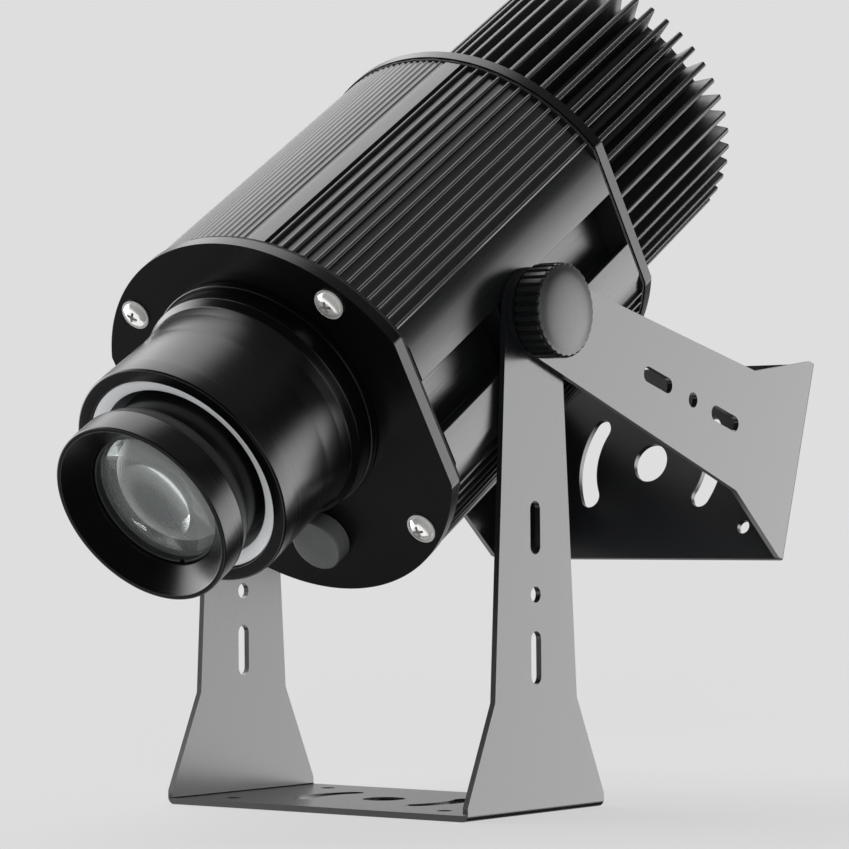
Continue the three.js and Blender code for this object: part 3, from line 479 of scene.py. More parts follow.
def dress(tree, shader, base, variation, roughness, relief):
    """Links colour variation, roughness variation and relief to a shader.

    variation, roughness and relief each start with the grain that drives them.
    """
    value, dark, light = variation
    colours = shades(tree, value, tint(base, dark), tint(base, light))
    tree.links.new(colours, shader.inputs["Base Color"])
    value, low, high = roughness
    tree.links.new(spread(tree, value, low, high), shader.inputs["Roughness"])
    value, strength, distance = relief
    tree.links.new(bump(tree, value, strength, distance), shader.inputs["Normal"])


def turning(tree, pitch):
    """Fine rings as a lathe tool leaves them, with a pitch in metres."""
    where = add_node(tree, "ShaderNodeTexCoord").outputs["Object"]
    parts = add_node(tree, "ShaderNodeSeparateXYZ", {"Vector": where}).outputs
    flat = add_node(tree, "ShaderNodeCombineXYZ", {"X": parts["X"], "Y": parts["Y"]}).outputs[0]
    radius = add_node(tree, "ShaderNodeVectorMath", {0: flat}, operation="LENGTH").outputs["Value"]
    station = add_node(tree, "ShaderNodeCombineXYZ", {"X": radius, "Y": parts["Z"]}).outputs[0]
    inputs = {"Vector": station, "Scale": 1 / pitch, "Detail": 2.0, "Roughness": 0.6}
    return add_node(tree, "ShaderNodeTexNoise", inputs).outputs["Fac"]


def powder_coated_sheet(base):
    """Satin powder coat on bent sheet: a soft, slightly bumpy sheen with a faint sparkle."""
    material, tree, shader = new_material("powder_coated_sheet", ior=1.6)
    # Orange peel about 0.9 mm across, and fine grit of 0.25 mm
    peel = grain(tree, 1 / (0.9 * MM), 2.0)
    grit = grain(tree, 1 / (0.25 * MM), 1.0)
    dress(tree, shader, base, (grit, 0.86, 1.14), (peel, 0.22, 0.27), (peel, 0.05, 0.01 * MM))
    return material


def anodised_extrusion(name, base, smoothest, roughest):
    """Black anodised extrusion: dark metal with faint die lines along its length."""
    material, tree, shader = new_material(name, ior=1.57)
    # Die lines 0.35 mm apart that run the length of the bar, and slow clouding over 18 mm
    lines = grain(tree, 1 / (0.35 * MM), 2.0, (1, 1, 0.01))
    cloud = grain(tree, 1 / (18 * MM), 3.0)
    roughness = (lines, smoothest, roughest)
    dress(tree, shader, base, (cloud, 0.9, 1.1), roughness, (lines, 0.15, 0.006 * MM))
    return material


def anodised_plate(base):
    """Black anodised machined plate: smoother than the extrusion, with a faint milled grain."""
    material, tree, shader = new_material("black_anodised_plate", ior=1.37)
    # Milled grain of 0.4 mm, and slow clouding over 25 mm
    grit = grain(tree, 1 / (0.4 * MM), 2.0)
    cloud = grain(tree, 1 / (25 * MM), 3.0)
    dress(tree, shader, base, (cloud, 0.88, 1.12), (grit, 0.2, 0.28), (grit, 0.1, 0.008 * MM))
    return material


def glossy_turned(base):
    """Glossy black anodised turning: deep black, soft-edged reflections, faint tool rings."""
    material, tree, shader = new_material("glossy_black_turned", ior=1.42)
    # Tool rings drawn at 0.5 mm, coarser than the real 0.1 mm, so that they show
    rings = turning(tree, 0.5 * MM)
    cloud = grain(tree, 1 / (30 * MM), 3.0)
    dress(tree, shader, base, (cloud, 0.85, 1.15), (rings, 0.22, 0.28), (rings, 0.1, 0.004 * MM))
    return material


def matt_turned(base):
    """Matt black anodised turning, as used inside optics: dull, with rings that break up light."""
    material, tree, shader = new_material("matt_black_turned", ior=1.45)
    # Tool rings drawn at 0.6 mm, coarser than the real 0.2 mm, so that they show
    rings = turning(tree, 0.6 * MM)
    dress(tree, shader, base, (rings, 0.85, 1.15), (rings, 0.42, 0.55), (rings, 0.3, 0.02 * MM))
    return material


def clear_anodised(base):
    """Clear anodised turned aluminium: pale, bluish and silky."""
    # The oxide's white haze scatters most of the light, so little of the metal's mirror is left
    material, tree, shader = new_material("clear_anodised_turned", metallic=0.1)
    # Tool rings drawn at 0.4 mm, coarser than the real 0.1 mm, so that they show
    rings = turning(tree, 0.4 * MM)
    dress(tree, shader, base, (rings, 0.93, 1.0), (rings, 0.3, 0.4), (rings, 0.2, 0.01 * MM))
    return material


def milled_metal(name, base):
    """Aluminium or steel as it leaves the mill: bare grey metal with fine straight tool marks."""
    material, tree, shader = new_material(name, metallic=1.0)
    # Tool marks 0.5 mm apart and twenty times as long
    marks = grain(tree, 1 / (0.5 * MM), 2.0, (1, 0.05, 1))
    dress(tree, shader, base, (marks, 0.88, 1.0), (marks, 0.3, 0.42), (marks, 0.2, 0.01 * MM))
    return material


def bright_plated_steel(base):
    """Bright zinc plate on steel, with a milky clear passivation over it."""
    material, tree, shader = new_material("bright_plated_steel", metallic=0.6)
    # The passivation clouds over about 1.5 mm
    haze = grain(tree, 1 / (1.5 * MM), 3.0)
    dress(tree, shader, base, (haze, 0.93, 1.0), (haze, 0.12, 0.2), (haze, 0.05, 0.01 * MM))
    return material


def moulded_plastic(name, base):
    """Moulded nylon or ABS: satin, with a fine spark-eroded grain."""
    material, tree, shader = new_material(name, ior=1.5)
    # Eroded grain drawn at 0.35 mm, coarser than the real 0.05 mm, and flow clouds of 9 mm
    grit = grain(tree, 1 / (0.35 * MM), 2.0)
    cloud = grain(tree, 1 / (9 * MM), 2.0)
    dress(tree, shader, base, (cloud, 0.9, 1.12), (grit, 0.26, 0.36), (grit, 0.15, 0.01 * MM))
    return material


def sheet_rubber(base):
    """Die-cut rubber: matt and slightly mottled."""
    material, tree, shader = new_material("die_cut_rubber", ior=1.52)
    # Filler specks of about 0.5 mm
    grit = grain(tree, 1 / (0.5 * MM), 3.0)
    dress(tree, shader, base, (grit, 0.8, 1.2), (grit, 0.7, 0.85), (grit, 0.3, 0.03 * MM))
    return material


def white_acetal(base):
    """Machined acetal: milky white with a waxy sheen."""
    material, tree, shader = new_material("machined_acetal", ior=1.48, subsurface_weight=0.1)
    # Milky clouds of about 6 mm
    cloud = grain(tree, 1 / (6 * MM), 3.0)
    dress(tree, shader, base, (cloud, 0.95, 1.02), (cloud, 0.38, 0.5), (cloud, 0.1, 0.02 * MM))
    return material


def solder_mask(base):
    """White solder mask on a metal-core board: even, with a faint gloss."""
    material, tree, shader = new_material("white_solder_mask", ior=1.55)
    # The print's thickness varies over about 3 mm
    cloud = grain(tree, 1 / (3 * MM), 3.0)
    dress(tree, shader, base, (cloud, 0.95, 1.02), (cloud, 0.35, 0.45), (cloud, 0.1, 0.01 * MM))
    return material


def silicone_phosphor(base):
    """Yellow phosphor under clear silicone: an almost even yellow below a soft skin."""
    material, tree, shader = new_material("silicone_phosphor", ior=1.42, coat_weight=0.6)
    # Phosphor grit drawn at 0.4 mm, far coarser than the real powder
    grit = grain(tree, 1 / (0.4 * MM), 3.0)
    dress(tree, shader, base, (grit, 0.98, 1.02), (grit, 0.35, 0.38), (grit, 0.01, 0.01 * MM))
    return material


def polished_glass(name, base, ior):
    """Polished optical glass: clear, with the faintest unevenness of its coating."""
    # What isn't let through stands for the coating's own reflection and the glass's tint
    material, tree, shader = new_material(name, transmission_weight=0.93, ior=ior)
    cloud = grain(tree, 1 / (20 * MM), 2.0)
    dress(tree, shader, base, (cloud, 0.97, 1.0), (cloud, 0.0, 0.001), (cloud, 0.002, 0.001 * MM))
    return material


def palette():
    """Every finish by name, made once."""
    if not PALETTE:
        colours = bpy.context.scene.projector.finish
        PALETTE.update({
            "bracket": powder_coated_sheet(colours.bracket),
            "housing": anodised_extrusion("black_anodised_extrusion", colours.housing, 0.27, 0.34),
            "heat_sink": anodised_extrusion("black_anodised_fins", colours.sink, 0.38, 0.46),
            "plates": anodised_plate(colours.plate),
            "lens_housing": glossy_turned(colours.gloss),
            "lens_sleeve": clear_anodised(colours.silver),
            "inner_rings": matt_turned(linear("141416")),
            "bare_aluminium": milled_metal("milled_aluminium", linear("c9cbcd")),
            "optical_glass": polished_glass("polished_optical_glass", linear("f4fbfa"), 1.52),
            "gobo_glass": polished_glass("heat_proof_glass", linear("e8f4f1"), 1.47),
            "bright_steel": bright_plated_steel(linear("f0efec")),
            "steel": milled_metal("milled_steel", linear("a9abae")),
            "gaskets": sheet_rubber(linear("141414")),
            "moulded_black": moulded_plastic("moulded_black_plastic", colours.plastic),
            "motor_cap": moulded_plastic("moulded_grey_plastic", colours.cap),
            "acetal": white_acetal(linear("ece9e0")),
            "circuit_board": solder_mask(linear("ecece8")),
            "emitter": silicone_phosphor(linear("efd24a")),
        })
    return PALETTE


# Pieces

class PROJECTOR_OT_brackets(Operator):
    """Make the floor bracket and the swing bracket from the same bent blank"""
    bl_idname = "projector.brackets"
    bl_label = "Brackets"

    def execute(self, context):
        sizes = context.scene.projector.bracket
        for name, matrix, body in (("floor_sheet", FLOOR, "base"), ("swing_sheet", SWING, "swing")):
            piece = bracket(name, sizes, matrix)
            node = name.replace("sheet", "bracket")
            finish_piece(piece, body, palette()["bracket"], node)
        return {"FINISHED"}


def bracket(name, sizes, matrix):
    """A strip bent at two corners, trimmed to the arm's outline and pierced."""
    half, depth, sheet, bend = sizes.width / 2, sizes.depth / 2, sizes.sheet, sizes.bend
    top = PIVOT.z + sizes.top_width / 2
    outer = [(-half, top), (-half, 0), (half, 0), (half, top)]
    inner = [(half - sheet, top), (half - sheet, sheet)]
    inner += [(-x, y) for x, y in reversed(inner)]
    tight = bend - sheet
    strip = rounded([*outer, *inner], [0, bend, bend, 0, 0, tight, tight, 0], 8)
    upright = Matrix.Rotation(QUARTER, 4, "X")
    piece = extruded(name, [strip], -depth, depth, matrix @ upright)
    kink, shoulder = sizes.kink_height, sizes.top_width / 2
    arm = [(-depth, -sheet), (depth, -sheet), (depth, bend + sheet), (sizes.kink_width / 2, kink)]
    arm += arc((0, PIVOT.z), shoulder, 0, math.pi, 40)
    arm += [(-sizes.kink_width / 2, kink), (-depth, bend + sheet)]
    across = matrix @ Matrix.Rotation(QUARTER, 4, "Z") @ upright
    reach = half + sheet
    combine(piece, [extruded("arm_outline", [arm], -reach, reach, across)], "INTERSECT")
    slot = sizes.slot_width / 2
    straight = (sizes.slot_length - sizes.slot_width) / 2
    tools = []
    for height in (sizes.low_slot, sizes.high_slot):
        ends = arc((0, height + straight), slot, 0, math.pi)
        ends += arc((0, height - straight), slot, math.pi, FULL_TURN)
        tools.append(extruded("slot", [ends], -reach, reach, across))
    for height, radius in ((sizes.arm_hole, sizes.arm_bore), (PIVOT.z, sizes.stud_bore)):
        tools.append(extruded("hole", [circle(radius, 32, (0, height))], -reach, reach, across))
    base = [[circle(sizes.base_bore, 64)]]
    for x in (-sizes.corner_x, sizes.corner_x):
        for y in (-sizes.corner_y, sizes.corner_y):
            base.append([circle(sizes.corner_bore, 32, (x, y))])
    for side in (0, math.pi):
        base.append([arc_slot(sizes, side)])
    tools += [extruded("base_hole", loops, -sheet, 2 * sheet, matrix) for loops in base]
    combine(piece, tools)
    soften(piece, sizes.edge, 2, 40)
    return piece


def arc_slot(sizes, side):
    """The outline of a slot bent round the base's bore."""
    radius, half, angle = sizes.arc_radius, sizes.arc_width / 2, sizes.arc_half
    start, end = side - angle, side + angle
    last = (radius * math.cos(end), radius * math.sin(end))
    first = (radius * math.cos(start), radius * math.sin(start))
    points = arc((0, 0), radius + half, start, end, 24)
    points += arc(last, half, end, end + math.pi, 12)[1:-1]
    points += arc((0, 0), radius - half, end, start, 24)
    return points + arc(first, half, start + math.pi, start + FULL_TURN, 12)[1:-1]


def body_outline(radius, flat, steps=96):
    """A circle with a flat on each side."""
    angle = math.acos(flat / radius)
    over = arc((0, 0), radius, angle, math.pi - angle, steps)
    return over + arc((0, 0), radius, math.pi + angle, FULL_TURN - angle, steps)


class PROJECTOR_OT_housing(Operator):
    """Make the ribbed housing with its two side channels"""
    bl_idname = "projector.housing"
    bl_label = "Housing"

    def execute(self, context):
        sizes = context.scene.projector.body
        loops = [ribbed_outline(sizes), inner_outline(sizes)]
        piece = extruded("ribbed_housing", loops, sizes.rear, sizes.front, HEAD, 50)
        soften(piece, sizes.end_edge, 1, 50)
        finish_piece(piece, "head", palette()["housing"], "housing")
        return {"FINISHED"}


def rib(angle, sizes):
    """A rib with a round crest and a small fillet at each foot."""
    half, foot = sizes.rib_width / 2, sizes.rib_foot
    section = [(-half - foot, 0), (-half - foot / 4, foot / 3), (-half, foot)]
    section += arc((0, sizes.crest - sizes.root - half), half, math.pi, 0, 10)
    section += [(half, foot), (half + foot / 4, foot / 3), (half + foot, 0)]
    return around([(sizes.root + y, x) for x, y in section], angle)


def ribbed_outline(sizes):
    """The housing's outside, anticlockwise, with a tee channel in each flat."""
    ribs = [rib(sizes.rib_start + i * sizes.rib_pitch, sizes) for i in range(sizes.rib_count)]
    near = [point for section in ribs for point in section]
    far = [(-x, y) for section in ribs[:sizes.far_ribs] for x, y in section]
    start, first = sizes.land_start, sizes.flute_start
    flank = sizes.land_flank / sizes.root
    land = circle(sizes.root, 1, start=start - flank)
    land += arc((0, 0), sizes.land, start + flank, first - 2 * flank, 8)
    half = sizes.flute_crest / sizes.land / 2
    shares = [k / 8 for k in range(9)]
    for i in range(sizes.flute_count):
        begins = first + i * sizes.flute_pitch + half
        ends = first + (i + 1) * sizes.flute_pitch - half
        for share in shares:
            radius = sizes.land - sizes.flute * (1 - (2 * share - 1) ** 2)
            land += circle(radius, 1, start=begins + (ends - begins) * share)
    last = first + sizes.flute_count * sizes.flute_pitch
    land += circle(sizes.root, 1, start=last + 2 * flank)
    corner = math.sqrt(sizes.root ** 2 - sizes.flat ** 2)
    mouth, well = sizes.mouth / 2, sizes.channel / 2
    floor, lip = sizes.flat - sizes.channel_depth, sizes.flat - sizes.lip
    channel = [(sizes.flat, -mouth), (lip, -mouth), (lip, -well), (floor, -well),
               (floor, well), (lip, well), (lip, mouth), (sizes.flat, mouth)]
    channel = [(sizes.flat, -corner), *channel, (sizes.flat, corner)]
    channel = rounded(channel, sizes.channel_edge, 3, closed=False)
    points = channel + near + land + far[::-1]
    return points + [(-x, -y) for x, y in points]


def inner_outline(sizes):
    """The housing's inside, which steps in behind the channels."""
    radius = sizes.root - sizes.wall
    flat = sizes.flat - sizes.wall
    corner = math.sqrt(radius ** 2 - flat ** 2)
    back = sizes.flat - sizes.channel_depth - sizes.channel_wall
    wide = sizes.channel / 2 + sizes.channel_wall
    angle = math.acos(flat / radius)
    half = [(back, -wide), (back, wide), (flat, wide), (flat, corner)]
    half += arc((0, 0), radius, angle, math.pi - angle, 64)[1:-1]
    half += [(-flat, corner), (-flat, wide)]
    return half + [(-x, -y) for x, y in half]


class PROJECTOR_OT_end_plates(Operator):
    """Make the front and rear plates with their bores and rounded edges"""
    bl_idname = "projector.end_plates"
    bl_label = "End plates"

    def execute(self, context):
        sizes = context.scene.projector.body
        outline = body_outline(sizes.radius, sizes.flat)
        screws = [circle(sizes.screw_bore, 32, spot) for spot in screw_places(sizes)]
        lift = (0, OPTIC_LIFT)
        motor = circle(sizes.motor_bore, 48, (0, sizes.motor_drop))
        front = [circle(sizes.tube_bore, 96, lift), motor]
        rear = [circle(sizes.rear_bore, 96, lift)]
        low = sizes.front_face - sizes.plate
        for side, face, bores in (("front", low, front), ("rear", sizes.rear_face, rear)):
            loops = [outline, *bores, *screws]
            piece = extruded(f"{side}_cover_plate", loops, face, face + sizes.plate, HEAD)
            soften(piece, sizes.chamfer, 3, 40)
            finish_piece(piece, "head", palette()["plates"], f"{side}_plate")
        return {"FINISHED"}


def screw_places(sizes):
    """The four corners that hold a plate's screws."""
    return [(sizes.screw_x * a, sizes.screw_y * b) for a, b in ((1, 1), (-1, 1), (-1, -1), (1, -1))]


# The two kinds of screw: radius and height of the head, radius and length of the shank, and the
# width of the collar where there is one
PLATE_SCREW = {"head": 5.2 * MM, "height": 3.2 * MM, "shank": 2.2 * MM, "depth": 18 * MM,
               "collar": 1.1 * MM}
COVER_SCREW = {"head": 1.8 * MM, "height": 1.4 * MM, "shank": 1 * MM, "depth": 7 * MM}

# A head or a nut sits this far off its plate. A head's straight rim and its collar take these
# shares of its height, and its recess has these shares of its radius and of its height
SEAT_GAP = 0.3 * MM
RIM_SHARE, COLLAR_SHARE = 0.4, 0.25
CROSS_ARM, CROSS_WIDTH, CROSS_FLOOR = 0.46, 0.1, 0.5

# Each screw was tightened to an angle of its own, in radians
FIRST_TWIST, NEXT_TWIST = 0.35, 1.1


def cap_points(radius, height, top, steps):
    """Points on a spherical cap from its middle, at station top, out to its rim."""
    sphere = (radius ** 2 + height ** 2) / (2 * height)
    spots = [radius * i / steps for i in range(steps + 1)]
    return [(r, math.sqrt(sphere ** 2 - r ** 2) - sphere + top) for r in spots]


def pan_screw(name, matrix, head, height, shank, depth, collar=0.0):
    """A cross-recess pan-head screw that stands on the local z = 0 plane."""
    dome = cap_points(head, height * (1 - RIM_SHARE), height, 10)
    low = height * COLLAR_SHARE if collar else SEAT_GAP
    foot = [(head + collar, low), (head + collar, SEAT_GAP)] if collar else []
    profile = [*dome, (head, low), *foot, (shank, SEAT_GAP), (shank, -depth), (0, -depth)]
    piece = turned(name, profile, matrix, 64)
    arm, wide = head * CROSS_ARM, head * CROSS_WIDTH
    cross = [(arm, wide), (wide, wide), (wide, arm), (-wide, arm), (-wide, wide), (-arm, wide)]
    cross = rounded(cross + [(-x, -y) for x, y in cross], wide / 3, 3)
    tool = extruded("cross", [cross], height * CROSS_FLOOR, height * 1.5, matrix)
    combine(piece, [tool])
    smooth(piece, 40)
    return piece


class PROJECTOR_OT_screws(Operator):
    """Make the pan-head screws of both end plates"""
    bl_idname = "projector.screws"
    bl_label = "Screws"

    def execute(self, context):
        sizes = context.scene.projector.body
        steel = palette()["bright_steel"]
        faces = (("front", sizes.front_face, Matrix()), ("rear", sizes.rear_face, FLIP))
        for number, (x, y) in enumerate(screw_places(sizes), 1):
            twist = Matrix.Rotation(FIRST_TWIST + NEXT_TWIST * number, 4, "Z")
            for side, face, facing in faces:
                matrix = HEAD @ Matrix.Translation((x, y, face)) @ facing @ twist
                piece = pan_screw(f"{side}_pan_screw_{number}", matrix, **PLATE_SCREW)
                finish_piece(piece, "head", steel, f"{side}_screw_{number}")
        return {"FINISHED"}


class PROJECTOR_OT_heat_sink(Operator):
    """Make the finned heat sink with its rear pocket"""
    bl_idname = "projector.heat_sink"
    bl_label = "Heat sink"

    def execute(self, context):
        sizes = context.scene.projector.sink
        outline = []
        for i in range(sizes.fins):
            outline += fin(FULL_TURN * i / sizes.fins, sizes)
        piece = extruded("finned_sink", [outline], sizes.rear, sizes.front, HEAD, 50)
        out, seat = sizes.rear - OVERRUN, sizes.rear + sizes.pocket_depth
        floor = sizes.front - sizes.nose
        pocket = [(0, out), (sizes.pocket, out), (sizes.pocket, seat), (sizes.bore, seat),
                  (sizes.bore, floor), (0, floor)]
        combine(piece, [turned("pocket", pocket, HEAD)])
        smooth(piece, 50)
        finish_piece(piece, "head", palette()["heat_sink"], "heat_sink")
        return {"FINISHED"}


# A fin's extra half thickness at its foot, and the width and height of the fillet beside it
FIN_TAPER, FILLET_WIDTH, FILLET_HEIGHT = 0.2 * MM, 0.6 * MM, 0.5 * MM


def fin(angle, sizes):
    """A fin that thickens to its foot, with a flat tip between rounded corners."""
    half, corner = sizes.fin / 2, sizes.fin_corner
    foot, knee = half + FIN_TAPER, sizes.root + FILLET_HEIGHT
    section = [(sizes.root, -foot - FILLET_WIDTH), (knee, -foot)]
    section += arc((sizes.tip - corner, corner - half), corner, -QUARTER, 0, 4)
    section += arc((sizes.tip - corner, half - corner), corner, 0, QUARTER, 4)
    section += [(knee, foot), (sizes.root, foot + FILLET_WIDTH)]
    return around(section, angle)


class PROJECTOR_OT_sink_cover(Operator):
    """Make the heat sink's end cover with its screws and the cable gland"""
    bl_idname = "projector.sink_cover"
    bl_label = "Sink cover"

    def execute(self, context):
        sizes, finishes = context.scene.projector.sink, palette()
        rear = sizes.rear
        inner = rear + sizes.cover_sheet
        profile = ring_section(CORD_BORE, sizes.cover, rear, inner, 0.35 * MM, 3)
        cover = turned("end_cover", profile, HEAD)
        finish_piece(cover, "head", finishes["plates"], "sink_cover")
        for number, (x, y) in enumerate(circle(sizes.screw_circle, 3, start=QUARTER), 1):
            matrix = HEAD @ Matrix.Translation((x, y, rear)) @ FLIP
            screw = pan_screw(f"cover_pan_screw_{number}", matrix, **COVER_SCREW)
            node = f"cover_screw_{number}"
            finish_piece(screw, "head", finishes["bright_steel"], node)
        seat = HEAD @ Matrix.Translation((0, 0, rear - SEAT_GAP)) @ FLIP
        gland = cable_gland(seat)
        finish_piece(gland, "head", finishes["moulded_black"], "cable_gland")
        return {"FINISHED"}


# The gland: radius of the opening for the cord and over the hexagon's corners, the stations of
# the hexagon's, the ribs' and the crown's top, and the crown's radius at its foot and top. Its
# three solids only touch. These are metres, because the union drops the crown when the crown's
# section is rounded in millimetres and then scaled
CORD_BORE, HEXAGON = 3.2 * MM, 9 * MM
HEXAGON_TOP, RIBS_TOP, CROWN_TOP = 3.5 * MM, 6.3 * MM, 8.5 * MM
CROWN_FOOT, CROWN_TIP = 6 * MM, 4.9 * MM
# Radius of the dome nut's ribs in millimetres, their number, and the outline of one rib as depth
# below its crest in millimetres and angle in radians
DOME_NUT, NUT_RIBS = 6.5, 24
NUT_RIB = ((0, 0), (0, 0.1), (0.4, 0.16), (0.4, 0.22))


def cable_gland(matrix):
    """A hexagon body with a ribbed dome nut, open where the cord would pass."""
    opening = circle(CORD_BORE, 48)
    gland = extruded("gland_nut", [circle(HEXAGON, 6), opening], 0, HEXAGON_TOP, matrix)
    soften(gland, 0.4 * MM, 2)
    ribs = []
    for i in range(NUT_RIBS):
        angle = FULL_TURN * i / NUT_RIBS
        for depth, step in NUT_RIB:
            ribs += circle((DOME_NUT - depth) * MM, 1, start=angle + step)
    dome = extruded("gland_dome", [ribs, opening], HEXAGON_TOP, RIBS_TOP, matrix)
    section = [(CORD_BORE, RIBS_TOP), (CROWN_FOOT, RIBS_TOP), (CROWN_TIP, CROWN_TOP),
               (CORD_BORE, CROWN_TOP)]
    crown = turned("gland_crown", rounded(section, 0.7 * MM, 3), matrix, 96)
    combine(gland, [dome, crown], "UNION")
    smooth(gland)
    return gland


class PROJECTOR_OT_lens_tube(Operator):
    """Make the flange disc, the lens tube and the motor cap on the front plate"""
    bl_idname = "projector.lens_tube"
    bl_label = "Lens tube"

    def execute(self, context):
        sizes, body = context.scene.projector.optics, context.scene.projector.body
        gloss = palette()["lens_housing"]
        # Sections here are (radius, station) in millimetres, each with the rounding of its corners
        disc = ring_section(body.tube_bore / MM, sizes.flange / MM, 78.3, 81.7, 0.5, 4)
        piece = turned("flange_disc", scaled(disc), OPTICS)
        finish_piece(piece, "head", gloss, "lens_flange")
        neck, waist, mouth = sizes.neck / MM, sizes.waist / MM, sizes.mouth / MM
        outer = [(39.6, 66), (39.6, 82), (neck, 82), (neck, 89), (49, 90.6), (mouth + 0.2, 92),
                 (waist + 0.4, 97), (waist, 107), (mouth, 131), (mouth, 138)]
        inner = [(42.5, 138), (42.5, 95), (38, 95), (38, 82), (36, 78.6), (36, 66)]
        radii = [0.3, 0, 0.5, 1.2, 2.5, 2.5, 12, 30, 20, 0.9, 0.3, 0, 0.3, 0, 0.3, 0.3]
        section = scaled(rounded([*outer, *inner], radii, 6))
        tube = turned("lens_tube_body", section, OPTICS, sharp=25)
        finish_piece(tube, "head", gloss, "lens_tube")
        bore = body.motor_bore / MM
        cap = [(bore, 78.3), (11.2, 78.3), (11.2, 86.6), (0, 86.6), (0, 84.7), (bore, 84.7)]
        cap = scaled(rounded(cap, [0, 0.3, 1.1, 0, 0, 0.2], 4))
        low = HEAD @ Matrix.Translation((0, body.motor_drop, 0))
        piece = turned("motor_end_cap", cap, low, 96)
        finish_piece(piece, "head", palette()["motor_cap"], "motor_cap")
        return {"FINISHED"}


class PROJECTOR_OT_focus_group(Operator):
    """Make the silver sleeve, the focus barrel, the hood, the retaining ring and both lenses"""
    bl_idname = "projector.focus_group"
    bl_label = "Focus group"

    def execute(self, context):
        sizes = context.scene.projector.optics
        finishes = palette()
        gloss = finishes["lens_housing"]
        # Sections here are (radius, station) in millimetres, each with the rounding of its corners
        bore, outer = sizes.sleeve_bore / MM, sizes.sleeve / MM
        section = [(bore, 95.3), (outer, 95.3), (outer, 137), (bore, 135.4)]
        section = rounded(section, [0.3, 0.3, 0.3, 0.6], 4)
        sleeve = turned("silver_sleeve", scaled(section), OPTICS)
        finish_piece(sleeve, "head", finishes["lens_sleeve"], "focus_sleeve")
        barrel, hood = sizes.barrel / MM, sizes.hood / MM
        section = [(30.5, 95.5), (36.7, 95.5), (36.7, 111.5), (barrel, 111.5), (barrel, 145.7),
                   (30.5, 145.7), (30.5, 107.1), (27, 107.1), (27, 104.7), (30.5, 104.7)]
        piece = turned("focus_tube", scaled(rounded(section, 0.3, 3)), OPTICS)
        finish_piece(piece, "focus", gloss, "focus_barrel")
        aperture = sizes.aperture / MM
        section = [(26, 140), (30.2, 140), (30.2, 146), (36.4, 146), (hood, 152.5), (hood, 164.5),
                   (36.8, 164.5), (aperture, 156), (aperture, 147), (26, 147)]
        radii = [0.2, 0.2, 0, 0.4, 2.2, 0.6, 0.5, 0.35, 0.1, 0.1]
        piece = turned("front_hood", scaled(rounded(section, radii, 5)), OPTICS, 192, 25)
        finish_piece(piece, "focus", gloss, "lens_hood")
        section = ring_section(27.2, 28.2, 151.6, 154.6, 0.25, 2)
        piece = turned("slotted_ring", scaled(section), OPTICS)
        notches = []
        for y in (-29.2, 26.2):
            slot = scaled([(-1.2, y), (1.2, y), (1.2, y + 3), (-1.2, y + 3)])
            notches.append(extruded("notch", [slot], 153 * MM, 156 * MM, OPTICS))
        combine(piece, notches)
        smooth(piece)
        finish_piece(piece, "focus", finishes["inner_rings"], "lens_retaining_ring")
        bulge = sizes.lens_bulge / MM
        lenses = (("front_glass", lens_section(28.2, 27, 147.3, 151.3, bulge, bulge), "front"),
                  ("rear_glass", lens_section(30.2, 26, 98.5, 104.4, 4, 2), "rear"))
        for name, section, end in lenses:
            piece = turned(name, scaled(section), OPTICS, sharp=30)
            glass, node = finishes["optical_glass"], f"{end}_objective_lens"
            finish_piece(piece, "focus", glass, node)
        return {"FINISHED"}


def lens_section(radius, clear, low, high, rear_bulge, front_bulge):
    """Half the section of a lens with a flat rim round two true spherical caps."""
    back = [(r, low - height) for r, height in cap_points(clear, rear_bulge, rear_bulge, 16)]
    front = [(r, high + height) for r, height in cap_points(clear, front_bulge, front_bulge, 16)]
    return [*back, (radius, low), (radius, high), *front[::-1]]


class PROJECTOR_OT_clamps(Operator):
    """Make the fluted clamp knobs with their studs and washers"""
    bl_idname = "projector.clamps"
    bl_label = "Clamp knobs"

    def execute(self, context):
        sizes = context.scene.projector.clamp
        black, steel = palette()["moulded_black"], palette()["bright_steel"]
        low, high = sizes.face - 1.1 * MM, sizes.face - 0.3 * MM
        bore = context.scene.projector.bracket.stud_bore
        washer = ring_section(bore, sizes.washer, low, high, 0.2 * MM, 2)
        start, end, radius, edge = sizes.stud_end, sizes.face + 8.7 * MM, sizes.stud, 0.4 * MM
        stud = [(0, start), (radius, start), (radius, end), (0, end)]
        stud = rounded(stud, [0, edge, edge, 0], 2, closed=False)
        for side, turned_by in (("near", QUARTER), ("far", -QUARTER)):
            body = f"{side}_clamp"
            matrix = Matrix.Translation(PIVOT) @ Matrix.Rotation(turned_by, 4, "Y")
            piece = fluted_knob(f"{side}_fluted_knob", sizes, matrix)
            finish_piece(piece, body, black, f"{side}_knob")
            piece = turned(f"{side}_plain_washer", washer, matrix, 64)
            finish_piece(piece, body, steel, f"{side}_washer")
            piece = turned(f"{side}_plain_stud", stud, matrix, 48)
            finish_piece(piece, body, steel, f"{side}_stud")
        return {"FINISHED"}


# The knob's domed face: share of its radius, and millimetres below its top
KNOB_DOME = ((0.86, 1.45), (0.7, 0.85), (0.5, 0.4), (0.25, 0.1))
KNOB_RECESS = 1 * MM
KNOB_RISE = 1.9 * MM
POINTS_PER_FLUTE = 12


